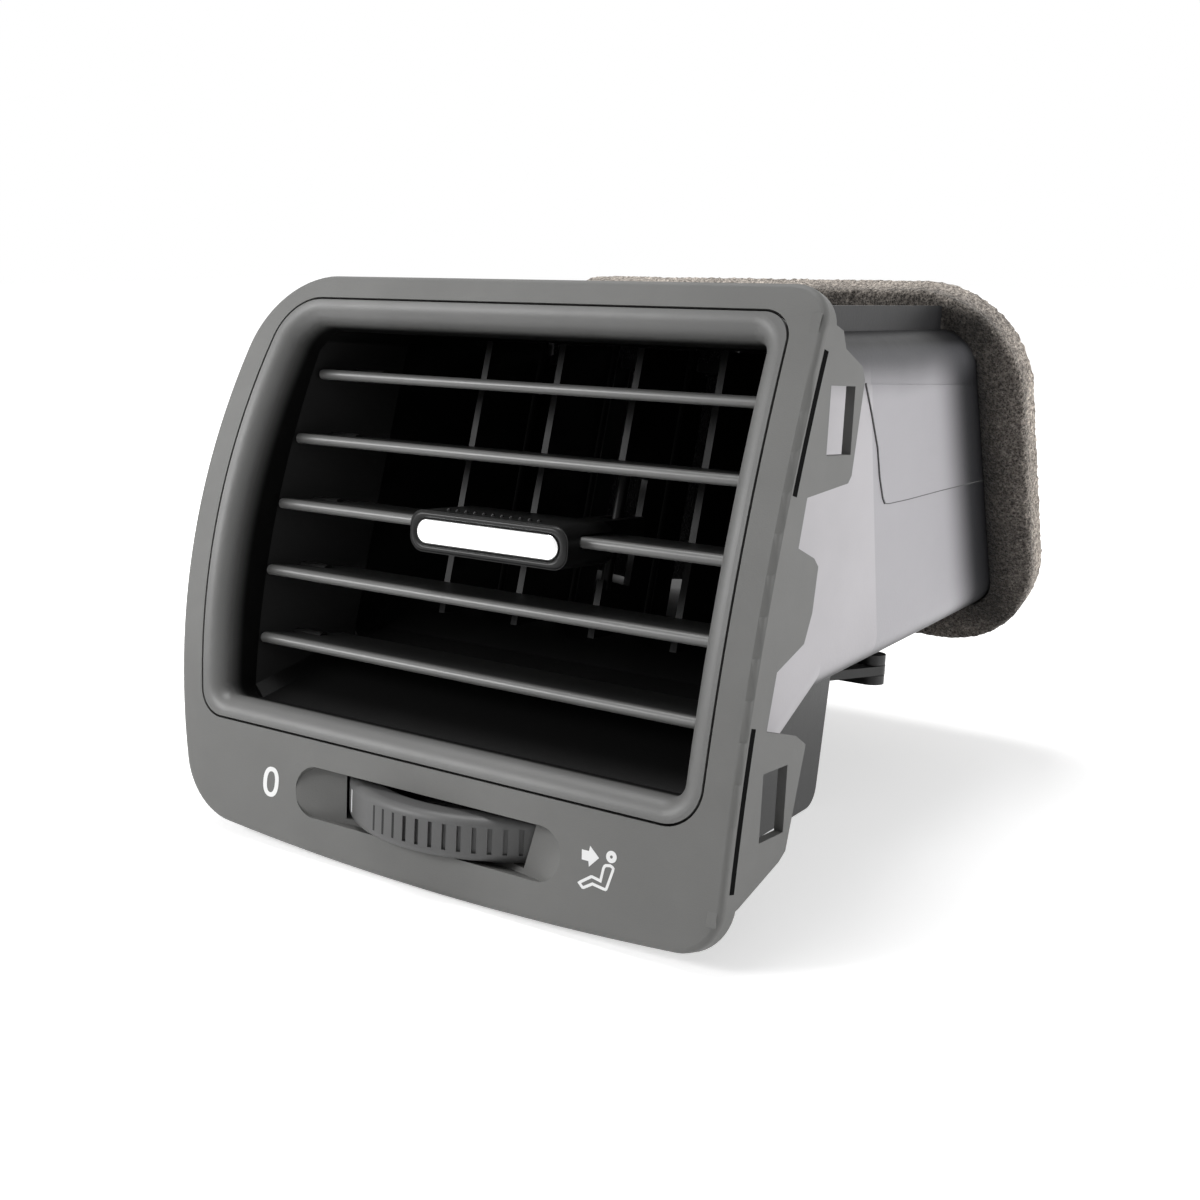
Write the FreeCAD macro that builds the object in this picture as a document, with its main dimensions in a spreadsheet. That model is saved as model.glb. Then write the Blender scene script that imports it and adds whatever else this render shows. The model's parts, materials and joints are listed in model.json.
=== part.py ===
import FreeCAD, Part
import math
import os
import Sketcher
from FreeCAD import Placement, Rotation, Vector

# Dashboard air vent: a crowned, leaning bezel with five linked slats, four linked
# vanes behind them, a sliding knob, and a thumbwheel that opens two flaps in the duct.
#
# The housing frame: x to the right, y along the air duct away from the driver, z up.
# The bezel's base plane passes through the origin and leans back by the lean angle.
# On it, x and u (up the face) are the face coordinates, and depth is measured behind it.
# The whole vent is then tipped back until it stands on its bezel and wheel housing.

SIZES = [
    # alias, number (millimetres or degrees)
    ("lean", 13),
    ("tip", 5.2),
    # bezel outline and crown
    ("face_half", 73.35),
    ("face_top", 123),
    ("bulge_radius", 200),
    ("bulge_level", 67),
    ("bow_radius", 760),
    ("bow_low", -1.85),
    ("bow_middle", 5.6),
    ("corner_top_left", 21.5),
    ("corner_top_right", 8),
    ("corner_bottom_right", 10),
    ("corner_bottom_left", 16),
    ("crown_chord", 124),
    ("crown_rise", 5),
    ("crown_level", 61.5),
    ("face_wall", 2.5),
    ("rim_depth", 3.2),
    ("rim_rounding", 1.2),
    # ring of the inner frame, and the passage inside it
    ("ring_half", 66.7),
    ("ring_top", 117.8),
    ("ring_bottom", 22.3),
    ("ring_corner_top_left", 12),
    ("ring_corner_top_right", 6.2),
    ("ring_corner_bottom_right", 8),
    ("ring_corner_bottom_left", 7),
    ("ring_groove", 0.5),
    ("ring_width", 5.4),
    ("ring_rounding", 4),
    ("ring_depth", 8),
    ("frame_wall", 1.8),
    ("lip_corner", 3),
    ("sleeve_clip", 2.6),
    # vane carrier, at the end of the inner frame
    ("carrier_front", 26),
    ("carrier_rear", 57),
    ("carrier_left", -48.3),
    ("carrier_roof", 107.8),
    ("carrier_floor", 45.6),
    ("ramp_foot", 36),
    ("ramp_toe_y", 43),
    ("ramp_toe_z", 39.2),
    ("ramp_head_y", 53.2),
    # slats
    ("slat_first", 40.9),
    ("slat_pitch", 15.33),
    ("slat_recess", 10.5),
    ("slat_front", 9.5),
    ("slat_rear", 7),
    ("slat_nose", 2.3),
    ("slat_tail", 1.3),
    ("slat_end_gap", 1.2),
    ("slat_left_gap", 2.1),
    ("slat_pin", 3),
    ("slat_crank", 5.5),
    ("crank_plane", -61.6),
    ("crank_plate", 1.8),
    ("slat_link_thick", 2),
    ("link_pin", 2.4),
    ("link_eye", 5),
    ("pin_gap", 0.05),
    ("side_gap", 0.3),
    # vanes
    ("vane_centre", 6.7),
    ("vane_pitch", 20.5),
    ("vane_nose", 26.8),
    ("vane_axis", 46),
    ("vane_tail", 54.3),
    ("vane_thick", 1.6),
    ("vane_gap", 0.6),
    ("vane_pin", 3),
    ("vane_rod", 2.4),
    ("rod_depth", 29),
    ("window_depth", 37),
    ("window_up", 12.5),
    ("window_down", 10.5),
    ("vane_crank", 6.5),
    ("notch_height", 5.2),
    ("vane_link_thick", 2),
    ("vane_link_wide", 3.6),
    # sliding knob
    ("knob_x", 4.5),
    ("knob_drop", 1.1),
    ("knob_half", 20.3),
    ("knob_reach", 4.2),
    ("knob_back", 2.5),
    ("knob_high", 8.8),
    ("knob_corner", 3.4),
    ("trim_long", 36.5),
    ("trim_high", 5.3),
    ("trim_thick", 1.6),
    ("trim_proud", 0.7),
    ("knob_slot_gap", 0.3),
    ("fork_end", 20.6),
    ("fork_prong", 2),
    ("fork_gap", 0.3),
    ("damper_long", 12),
    ("damper_thick", 0.8),
    # wheel, its recess and its housing
    ("wheel_x", 3.4),
    ("wheel_level", 11.2),
    ("wheel_radius", 34),
    ("wheel_setback", 29.3),
    ("wheel_thick", 9),
    ("wheel_gap", 0.4),
    ("wheel_shoulder", 1.8),
    ("wheel_rim", 5),
    ("wheel_web", 3),
    ("wheel_hub", 6),
    ("wheel_bore", 5),
    ("wheel_crank", 12.6),
    ("knurl_angle", 5.2),
    ("knurl_wide", 0.9),
    ("knurl_deep", 0.7),
    ("knurl_high", 5.2),
    ("recess_half", 34.7),
    ("recess_high", 10.7),
    ("recess_dip", 8.8),
    ("recess_wall", 1.5),
    ("housing_left", -40.7),
    ("housing_right", 47.5),
    ("housing_front", 8),
    ("housing_rear", 88.5),
    ("housing_wall", 2),
    ("housing_floor", 1.5),
    ("housing_gap", 0.2),
    ("housing_lean", 5),
    ("housing_toe_y", 20),
    ("housing_toe", 1.3),
    ("housing_chin", 4.5),
    # duct
    ("duct_left", -52.3),
    ("duct_right", 65.7),
    ("duct_wall", 2),
    ("duct_room", 0.3),
    ("duct_front", 8.4),
    ("duct_chin", 22.5),
    ("duct_toe_y", 42),
    ("duct_toe_z", 34.2),
    ("duct_heel_y", 51),
    ("duct_heel_z", 39.5),
    ("duct_floor_rise", 0.09),
    ("duct_roof_y", 60),
    ("duct_roof_z", 112.2),
    ("duct_roof_rise", 0.057),
    ("duct_corner", 8),
    # outlet: a point on the plane where the gasket starts, and how far that plane leans
    ("outlet_y", 131),
    ("outlet_z", 78.4),
    ("outlet_lean", 22.8),
    ("rail_x", 59),
    ("rail_start", 54),
    ("rail_end", 112.8),
    ("rail_high", 5.3),
    ("rail_thick", 2.4),
    # gasket
    ("gasket_thick", 9),
    ("gasket_side", 11.1),
    ("gasket_top", 49),
    ("gasket_low", 49),
    ("gasket_corner", 25),
    ("gasket_room", 0.05),
    ("gasket_over", 0.6),
    # flaps and their drive
    ("flap_y", 114),
    ("flap_thick", 1.8),
    ("flap_gap", 0.5),
    ("flap_corner", 2.2),
    ("flap_shaft", 5),
    ("seal_thick", 2.4),
    ("crank_top", 37.6),
    ("crank_thick", 2.4),
    ("bar_thick", 2.2),
    ("bar_wide", 7),
    ("bar_front_z", 17.5),
    ("drive_pin", 3),
]


class Size:
    """A dimension: its number now, and the sheet expression that gives it."""

    def __init__(self, value, text=None):
        self.value = float(value)
        self.text = text if text is not None else "%.9g" % value

    def joined(self, sign, value, other, swap=False):
        left, right = (other, self) if swap else (self, other)
        return Size(value, "(%s %s %s)" % (left.text, sign, right.text))

    def __add__(self, other):
        other = as_size(other)
        return self.joined("+", self.value + other.value, other)

    __radd__ = __add__

    def __sub__(self, other):
        other = as_size(other)
        return self.joined("-", self.value - other.value, other)

    def __rsub__(self, other):
        other = as_size(other)
        return self.joined("-", other.value - self.value, other, swap=True)

    def __mul__(self, other):
        other = as_size(other)
        return self.joined("*", self.value * other.value, other)

    __rmul__ = __mul__

    def __truediv__(self, other):
        other = as_size(other)
        return self.joined("/", self.value / other.value, other)

    def __rtruediv__(self, other):
        other = as_size(other)
        return self.joined("/", other.value / self.value, other, swap=True)

    def __neg__(self):
        return Size(-self.value, "(0 - %s)" % self.text)


def as_size(number):
    return number if isinstance(number, Size) else Size(number)


def sin(angle):
    return Size(math.sin(math.radians(angle.value)), "sin(%s)" % angle.text)


def cos(angle):
    return Size(math.cos(math.radians(angle.value)), "cos(%s)" % angle.text)


def tan(angle):
    return Size(math.tan(math.radians(angle.value)), "tan(%s)" % angle.text)


def root(square):
    return Size(math.sqrt(square.value), "sqrt(%s)" % square.text)


class Sheet:
    """The spreadsheet of driving dimensions; each alias reads as a Size."""

    def __init__(self, document, rows):
        self.sheet = document.addObject("Spreadsheet::Sheet", "Sizes")
        self.values = dict(rows)
        for row, (alias, number) in enumerate(rows, start=1):
            self.sheet.set("A%d" % row, alias)
            self.sheet.set("B%d" % row, str(number))
            self.sheet.setAlias("B%d" % row, alias)

    def __getattr__(self, alias):
        return Size(self.values[alias], "Sizes.%s" % alias)


doc = FreeCAD.newDocument("AirVent")
S = Sheet(doc, SIZES)
doc.recompute()

SLATS = 5
VANES = 4
FAR = as_size(200)
NONE = as_size(0)


# Helpers that draw and build from the sheet

def bind(obj, name, size):
    """Set a property and bind it to the sheet."""
    size = as_size(size)
    setattr(obj, name, size.value)
    if "Sizes." in size.text:
        obj.setExpression(name, size.text)


def new_body(label):
    return doc.addObject("PartDesign::Body", label)


def arc_edge(start, end, radius):
    """An arc from start to end; it bulges to the right of the way for a positive radius."""
    chord = end - start
    half = chord.Length / 2
    away = Vector(-chord.y, chord.x, 0).normalize()
    rise = math.sqrt(max(radius * radius - half * half, 0))
    centre = (start + end) / 2 + away * math.copysign(rise, radius)
    first = math.atan2(start.y - centre.y, start.x - centre.x)
    last = math.atan2(end.y - centre.y, end.x - centre.x)
    if radius < 0:
        first, last = last, first
    circle = Part.Circle(centre, Vector(0, 0, 1), abs(radius))
    return Part.ArcOfCircle(circle, first, last)


def fix_point(sketch, geometry, position, x, y):
    for kind, size in (("DistanceX", x), ("DistanceY", y)):
        at = sketch.addConstraint(Sketcher.Constraint(kind, -1, 1, geometry, position, size.value))
        if "Sizes." in size.text:
            sketch.setExpression("Constraints[%d]" % at, size.text)


def draw_loop(sketch, points):
    """A closed loop of (x, y) corners; a third number is the radius of the edge that follows."""
    corners = [tuple(as_size(number) for number in point) for point in points]
    vectors = [Vector(corner[0].value, corner[1].value, 0) for corner in corners]
    edges = []
    for n, corner in enumerate(corners):
        start, end = vectors[n], vectors[(n + 1) % len(corners)]
        if len(corner) == 3:
            edge = arc_edge(start, end, corner[2].value)
            ends = (1, 2) if corner[2].value > 0 else (2, 1)
        else:
            edge = Part.LineSegment(start, end)
            ends = (1, 2)
        edges.append((sketch.addGeometry(edge, False), ends))
    for n, (edge, ends) in enumerate(edges):
        after, after_ends = edges[(n + 1) % len(edges)]
        sketch.addConstraint(Sketcher.Constraint("Coincident", edge, ends[1], after, after_ends[0]))
    for (edge, ends), corner in zip(edges, corners):
        fix_point(sketch, edge, ends[0], corner[0], corner[1])
        if len(corner) == 3:
            size = corner[2] if corner[2].value > 0 else -corner[2]
            at = sketch.addConstraint(Sketcher.Constraint("Radius", edge, size.value))
            if "Sizes." in size.text:
                sketch.setExpression("Constraints[%d]" % at, size.text)


def draw_circle(sketch, x, y, diameter):
    x, y, diameter = as_size(x), as_size(y), as_size(diameter)
    circle = Part.Circle(Vector(x.value, y.value, 0), Vector(0, 0, 1), diameter.value / 2)
    geometry = sketch.addGeometry(circle, False)
    fix_point(sketch, geometry, 3, x, y)
    at = sketch.addConstraint(Sketcher.Constraint("Diameter", geometry, diameter.value))
    if "Sizes." in diameter.text:
        sketch.setExpression("Constraints[%d]" % at, diameter.text)


def new_sketch(body, role, level=NONE, leaning=False):
    """A sketch on one of the body's planes, level away from it.

    XZ looks from the driver (x, z), and leaning it holds the face coordinates (x, u).
    YZ is the side view (y, z), and leaning it is (depth, u). XY is the plan (x, y), and
    leaning it lies across the face's up direction (x, depth).
    """
    level = as_size(level)
    sketch = body.newObject("Sketcher::SketchObject", "Sketch")
    plane = [feature for feature in body.Origin.OriginFeatures if feature.Role == role + "_Plane"][0]
    sketch.AttachmentSupport = [(plane, "")]
    sketch.MapMode = "FlatFace"
    axis = Vector(0, 0, 1) if role == "YZ" else Vector(1, 0, 0)
    angle = S.lean.value if leaning else 0
    offset = Vector(0, 0, level.value)
    if leaning and role != "YZ":
        offset = Rotation(axis, -angle).multVec(offset)
    sketch.AttachmentOffset = Placement(offset, Rotation(axis, -angle))
    if leaning:
        sketch.setExpression("AttachmentOffset.Rotation.Angle", "Sizes.lean")
        sketch.AttachmentOffset = Placement(offset, Rotation(-axis, angle))
    if "Sizes." in level.text or leaning:
        if leaning and role != "YZ":
            sketch.setExpression("AttachmentOffset.Base.y", (level * sin(S.lean)).text)
            sketch.setExpression("AttachmentOffset.Base.z", (level * cos(S.lean)).text)
        else:
            sketch.setExpression("AttachmentOffset.Base.z", level.text)
    return sketch


def loop_sketch(body, role, *loops, level=NONE, leaning=False):
    sketch = new_sketch(body, role, level, leaning)
    for loop in loops:
        draw_loop(sketch, loop)
    return sketch


def circle_sketch(body, role, *circles, level=NONE, leaning=False):
    sketch = new_sketch(body, role, level, leaning)
    for x, y, diameter in circles:
        draw_circle(sketch, x, y, diameter)
    return sketch


def pad(body, sketch, length, both_ways=False, reverse=False):
    feature = body.newObject("PartDesign::Pad", "Pad")
    feature.Profile = sketch
    feature.SideType = "Symmetric" if both_ways else "One side"
    feature.Reversed = reverse
    bind(feature, "Length", length)
    body.Tip = feature
    return feature


def pocket(body, sketch, length=2 * FAR, both_ways=True, reverse=False):
    feature = body.newObject("PartDesign::Pocket", "Pocket")
    feature.Profile = sketch
    feature.SideType = "Symmetric" if both_ways else "One side"
    feature.Reversed = reverse
    bind(feature, "Length", length)
    body.Tip = feature
    return feature


def loft(body, sections, cut=False):
    kind = "PartDesign::SubtractiveLoft" if cut else "PartDesign::AdditiveLoft"
    feature = body.newObject(kind, "Loft")
    feature.Profile = sections[0]
    feature.Sections = sections[1:]
    feature.Ruled = True
    body.Tip = feature
    return feature


def round_edges(body, radius, chosen):
    """Fillet the edges of the body's tip that chosen picks."""
    doc.recompute()
    tip = body.Tip
    names = ["Edge%d" % n for n, edge in enumerate(tip.Shape.Edges, start=1) if chosen(edge)]
    if not names:
        raise ValueError("no edge to round on " + body.Label)
    feature = body.newObject("PartDesign::Fillet", "Rounding")
    feature.Base = (tip, names)
    bind(feature, "Radius", radius)
    body.Tip = feature
    return feature


def fuse(label, *objects):
    feature = doc.addObject("Part::MultiFuse", label)
    feature.Shapes = list(objects)
    return feature


def cut(label, base, *tools):
    feature = doc.addObject("Part::Cut", label)
    feature.Base = base
    feature.Tool = tools[0] if len(tools) == 1 else fuse(label + "_cutters", *tools)
    return feature


def is_straight(edge, direction):
    """True for a straight edge along direction."""
    if not isinstance(edge.Curve, Part.Line):
        return False
    return abs(abs(edge.Curve.Direction.dot(direction)) - 1) < 1e-6


def middle(edge):
    return edge.valueAt((edge.FirstParameter + edge.LastParameter) / 2)


# The face's own directions, and where its crowned surface lies

UP_FACE = Vector(0, sin(S.lean).value, cos(S.lean).value)
OUT_FACE = Vector(0, -cos(S.lean).value, sin(S.lean).value)
CROWN_RADIUS = (S.crown_chord * S.crown_chord / 4 + S.crown_rise * S.crown_rise) / (2 * S.crown_rise)


def crown_depth(u, inside=NONE):
    """The depth of the crowned face at u, or of the surface that lies inside it."""
    radius = CROWN_RADIUS - inside
    reach = u - S.crown_level
    return CROWN_RADIUS - S.crown_rise - root(radius * radius - reach * reach)


def at_depth(depth, level):
    """The y of the point at a depth behind the face's base plane, and at height z."""
    return level * tan(S.lean) + depth / cos(S.lean)


def side_point(depth, u):
    """The y and z of a point given by its depth and its u on the face."""
    return u * sin(S.lean) + depth * cos(S.lean), u * cos(S.lean) - depth * sin(S.lean)


def bulge_x(half, radius, u):
    """The x of the bulging left side at u."""
    reach = u - S.bulge_level
    return radius - half - root(radius * radius - reach * reach)


def crown_off(body, inside=NONE):
    """Pocket away all that stands proud of the crowned face, or of a surface inside it."""
    low = S.crown_level - S.crown_chord / 2 - 30
    high = S.crown_level + S.crown_chord / 2 + 30
    ahead = as_size(-40)
    profile = [
        (crown_depth(low, inside), low, -(CROWN_RADIUS - inside)),
        (crown_depth(high, inside), high),
        (ahead, high),
        (ahead, low),
    ]
    pocket(body, loop_sketch(body, "YZ", profile, leaning=True))


class Outline:
    """A face outline in (x, u): straight top and right, bulging left, straight or bowed bottom.

    radii are those of the corners at the bottom left, bottom right, top right and top left.
    """

    def __init__(self, half, top, bottom, bulge, radii, bow=None):
        self.half, self.top, self.bottom = half, top, bottom
        self.bulge, self.radii, self.bow = bulge, radii, bow

    def inset(self, wall):
        bow = None if self.bow is None else self.bow - wall
        radii = [radius - wall for radius in self.radii]
        return Outline(self.half - wall, self.top - wall, self.bottom + wall, self.bulge - wall, radii, bow)

    def left_arc(self):
        return self.bulge - self.half, S.bulge_level, self.bulge

    def bottom_arc(self):
        return S.bow_middle, self.bottom + self.bow, self.bow

    def sides(self):
        """The bottom, right, top and left, each a wall at a level or a circle."""
        bottom = ("low", self.bottom) if self.bow is None else ("round", self.bottom_arc())
        return [bottom, ("right", self.half), ("high", self.top), ("round", self.left_arc())]


def wall_distance(side, x, u):
    """How far inside a side of an outline a point lies."""
    kind, place = side
    if kind == "low":
        return u - place.value
    if kind == "high":
        return place.value - u
    if kind == "right":
        return place.value - x
    centre_x, centre_u, radius = (size.value for size in place)
    return radius - math.hypot(x - centre_x, u - centre_u)


def corner_centre(one, other, radius, x, u):
    """The centre of the corner arc between two sides, found from a place near it."""
    step = 1e-4
    for turn in range(30):
        first = wall_distance(one, x, u) - radius
        second = wall_distance(other, x, u) - radius
        first_x = (wall_distance(one, x + step, u) - radius - first) / step
        first_u = (wall_distance(one, x, u + step) - radius - first) / step
        second_x = (wall_distance(other, x + step, u) - radius - second) / step
        second_u = (wall_distance(other, x, u + step) - radius - second) / step
        scale = first_x * second_u - first_u * second_x
        x -= (first * second_u - second * first_u) / scale
        u -= (second * first_x - first * second_x) / scale
    return x, u


def touch_point(side, centre):
    """Where a corner arc about centre touches a side."""
    kind, place = side
    if kind in ("low", "high"):
        return centre[0], place.value
    if kind == "right":
        return place.value, centre[1]
    centre_x, centre_u, radius = (size.value for size in place)
    reach = math.hypot(centre[0] - centre_x, centre[1] - centre_u)
    return (centre_x + (centre[0] - centre_x) * radius / reach,
            centre_u + (centre[1] - centre_u) * radius / reach)


def arc_about(centre, radius, start, end):
    first = math.atan2(start[1] - centre[1], start[0] - centre[0])
    last = math.atan2(end[1] - centre[1], end[0] - centre[0])
    return Part.ArcOfCircle(Part.Circle(Vector(centre[0], centre[1], 0), Vector(0, 0, 1), radius), first, last)


def limit(sketch, constraint, size):
    """Add a dimension to a sketch and bind it to the sheet."""
    at = sketch.addConstraint(constraint)
    if "Sizes." in size.text:
        sketch.setExpression("Constraints[%d]" % at, size.text)


def outline_sketch(body, shape, level=NONE):
    """A leaning sketch of an outline, its corners tangent to its sides."""
    sketch = new_sketch(body, "XZ", level, leaning=True)
    sides = shape.sides()
    left = bulge_x(shape.half, shape.bulge, shape.bottom).value
    right, low, high = shape.half.value, shape.bottom.value, shape.top.value
    radii = [radius.value for radius in shape.radii]
    near = [
        (left + radii[0], low + radii[0]), (right - radii[1], low + radii[1]),
        (right - radii[2], high - radii[2]), (left + radii[3], high - radii[3]),
    ]
    centres = [corner_centre(sides[n - 1], sides[n], radii[n], *near[n]) for n in range(4)]
    pieces_of = []
    for n, side in enumerate(sides):
        start = touch_point(side, centres[n])
        end = touch_point(side, centres[(n + 1) % 4])
        if side[0] == "round":
            centre_x, centre_u, radius = (size.value for size in side[1])
            pieces_of.append(sketch.addGeometry(arc_about((centre_x, centre_u), radius, start, end), False))
        else:
            line = Part.LineSegment(Vector(start[0], start[1], 0), Vector(end[0], end[1], 0))
            pieces_of.append(sketch.addGeometry(line, False))
        corner = (n + 1) % 4
        after = touch_point(sides[corner], centres[corner])
        arc = arc_about(centres[corner], radii[corner], end, after)
        pieces_of.append(sketch.addGeometry(arc, False))
    for n, piece in enumerate(pieces_of):
        sketch.addConstraint(Sketcher.Constraint("Tangent", piece, 2, pieces_of[(n + 1) % 8], 1))
    for n, (kind, place) in enumerate(sides):
        piece, corner = pieces_of[2 * n], pieces_of[2 * n + 1]
        if kind == "round":
            fix_point(sketch, piece, 3, place[0], place[1])
            limit(sketch, Sketcher.Constraint("Radius", piece, place[2].value), place[2])
        elif kind == "right":
            sketch.addConstraint(Sketcher.Constraint("Vertical", piece))
            limit(sketch, Sketcher.Constraint("DistanceX", -1, 1, piece, 1, place.value), place)
        else:
            sketch.addConstraint(Sketcher.Constraint("Horizontal", piece))
            limit(sketch, Sketcher.Constraint("DistanceY", -1, 1, piece, 1, place.value), place)
        radius = shape.radii[(n + 1) % 4]
        limit(sketch, Sketcher.Constraint("Radius", corner, radius.value), radius)
    return sketch


def outline_block(label, shape, depth, crown_inside=NONE):
    """A prism of a face outline, from depth behind the base plane to the crowned surface."""
    block = new_body(label)
    pad(block, outline_sketch(block, shape, -depth), depth + 30)
    crown_off(block, crown_inside)
    return block


# Places that several pieces share

def slat_level(number):
    return S.slat_first + S.slat_pitch * number


def slat_pivot(number):
    """The y and z of a slat's pivot."""
    u = slat_level(number)
    y, z = side_point(crown_depth(u) + S.slat_recess, u)
    return y + S.slat_front, z


def vane_x(number):
    return S.vane_centre + S.vane_pitch * (number - (VANES - 1) / 2)


MIDDLE_SLAT = 2
KNOB_VANE = 2
PASSAGE_HALF = S.ring_half - S.ring_width
PASSAGE_TOP = S.ring_top - S.ring_width
PASSAGE_BOTTOM = S.ring_bottom + S.ring_width
PASSAGE_RADIUS = S.bulge_radius - S.ring_width
FACE_SHAPE = Outline(
    S.face_half, S.face_top, S.bow_low, S.bulge_radius,
    [S.corner_bottom_left, S.corner_bottom_right, S.corner_top_right, S.corner_top_left], S.bow_radius)
RING_SHAPE = Outline(
    S.ring_half, S.ring_top, S.ring_bottom, S.bulge_radius,
    [S.ring_corner_bottom_left, S.ring_corner_bottom_right, S.ring_corner_top_right, S.ring_corner_top_left])
PASSAGE_SHAPE = Outline(
    PASSAGE_HALF, PASSAGE_TOP, PASSAGE_BOTTOM, PASSAGE_RADIUS,
    [S.lip_corner, S.lip_corner, S.lip_corner, S.ring_corner_top_left - S.ring_width])
CARRIER_RIGHT = PASSAGE_HALF
WHEEL_FACE_U = S.wheel_level / cos(S.lean)
WHEEL_Y = side_point(crown_depth(WHEEL_FACE_U), WHEEL_FACE_U)[0] + S.wheel_setback
FLAP_HALF = (S.duct_right - S.duct_left - 2 * S.duct_wall) / 4
FLAP_MIDDLE = (S.duct_right + S.duct_left) / 2
FLAP_X = {"left": FLAP_MIDDLE - FLAP_HALF, "right": FLAP_MIDDLE + FLAP_HALF}
BAR_REAR_Z = S.crank_top - S.crank_thick - S.bar_thick - 0.2


def duct_floor(y, inside=NONE):
    return S.duct_heel_z + (y - S.duct_heel_y) * S.duct_floor_rise + inside


def duct_roof(y, inside=NONE):
    return S.duct_roof_z + (y - S.duct_roof_y) * S.duct_roof_rise - inside


# The lowest line of the bezel, at the back of its rim, and the ground line behind it
REST_Y, REST_Z = side_point(S.rim_depth, S.bow_low)


def ground(y):
    """The height, in the housing frame, of the ground that the vent stands on."""
    return REST_Z + (y - REST_Y) * tan(S.tip)


# Bezel

RIGHT_PLATE = S.face_half - 1.1
PLATE_THICK = as_size(1.9)


def side_tabs():
    """The right-hand strip behind the rim, with its three tabs and two snap windows."""
    tabs = new_body("side_tabs")
    strip_front = as_size(-1.5)
    strip_back = as_size(2.2)
    # Slits behind the rim, wide enough for the edge of the dashboard's cut-out
    slit_front = S.rim_depth - 0.2
    slit_back = S.rim_depth + 2.1

    def strip(z, depth):
        return at_depth(depth, as_size(z)), as_size(z)

    profile = [
        strip(7, strip_front), (8.2, 8.3), (23.1, 13.4), (25.6, 15), (31, 34.6), (26.7, 37),
        strip(40.6, strip_back), strip(49, strip_back), (27.3, 54.4), (29.8, 60), (30.9, 68.5),
        (29, 70.2), strip(73.6, strip_back), strip(81.2, strip_back), (41.1, 83.6), (42.4, 85),
        (45.2, 103), (43.6, 105.6), (36, 108.6), (34.4, 111.8), strip(114.5, strip_front),
    ]
    outer = loop_sketch(tabs, "YZ", profile, level=RIGHT_PLATE - PLATE_THICK)
    pad(tabs, outer, PLATE_THICK)
    windows = loop_sketch(
        tabs, "YZ",
        [(14.6, 19), (24, 19), (24, 32), (14.6, 32)],
        [(30.9, 89), (41.2, 89), (41.2, 101.8), (30.9, 101.8)],
        [strip(86.5, slit_front), strip(85.8, slit_back), strip(107.5, slit_back), strip(107.5, slit_front)],
        [strip(11.5, slit_front), strip(10.8, slit_back), strip(36, slit_back), strip(36, slit_front)],
        [strip(59.5, -0.4), strip(59.5, 0.5), strip(62.2, 0.5), strip(62.2, -0.4)],
        level=RIGHT_PLATE,
    )
    pocket(tabs, windows)
    return tabs


def bezel():
    outer = outline_block("bezel_outer", FACE_SHAPE, S.rim_depth)
    round_edges(outer, S.rim_rounding, on_crown)
    inner = outline_block("bezel_hollow", FACE_SHAPE.inset(S.face_wall), S.rim_depth + 1, S.face_wall)
    shell = cut("bezel_shell", outer, inner)

    boss = new_body("recess_boss")
    boss_back = crown_depth(WHEEL_FACE_U) + S.recess_dip + S.recess_wall
    pad(boss, loop_sketch(boss, "XZ", stadium(S.recess_wall), level=-boss_back, leaning=True), 20)
    crown_off(boss, S.face_wall / 2)
    solid = fuse("bezel_solid", shell, boss, side_tabs(), left_tabs())

    opening = outline_block("bezel_opening", RING_SHAPE, as_size(12), as_size(-10))
    slot = new_body("wheel_slot")
    half_high = S.wheel_thick / 2 + S.wheel_gap
    disc = (S.wheel_x, WHEEL_Y, 2 * S.wheel_radius + 3 * S.wheel_gap)
    pad(slot, circle_sketch(slot, "XY", disc, level=S.wheel_level - half_high), 2 * half_high)
    return cut("bezel", solid, opening, recess_scoop(), slot)


def on_crown(edge):
    """True for an edge that lies on the crowned face."""
    place = middle(edge)
    depth = -place.dot(OUT_FACE)
    return abs(depth - crown_depth(as_size(place.dot(UP_FACE))).value) < 0.02


def box_loop(left, right, low, high):
    return [(left, low), (right, low), (right, high), (left, high)]


def stadium(grown=NONE):
    """The recess outline on the face, grown by a wall."""
    radius = S.recess_high / 2 + grown
    straight = S.recess_half - S.recess_high / 2
    left, right = S.wheel_x - straight, S.wheel_x + straight
    low, high = WHEEL_FACE_U - radius, WHEEL_FACE_U + radius
    side = radius * 1.0001
    return [(left, low), (right, low, side), (right, high), (left, high, side)]


def recess_scoop():
    """The scooped recess: the stadium's prism down to a shallow drum."""
    prism = new_body("recess_prism")
    pad(prism, loop_sketch(prism, "XZ", stadium(), level=-S.recess_dip - 2, leaning=True), 30)
    drum = new_body("recess_drum")
    face = crown_depth(WHEEL_FACE_U)
    left, right = S.wheel_x - S.recess_half, S.wheel_x + S.recess_half
    drum_radius = (S.recess_half * S.recess_half + S.recess_dip * S.recess_dip) / (2 * S.recess_dip)
    ahead = face - 15
    profile = [(right, face, drum_radius), (left, face), (left, ahead), (right, ahead)]
    sketch = loop_sketch(drum, "XY", profile, level=WHEEL_FACE_U - S.recess_high, leaning=True)
    pad(drum, sketch, 2 * S.recess_high)
    common = doc.addObject("Part::Common", "recess_scoop")
    common.Base = prism
    common.Tool = drum
    return common


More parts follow.
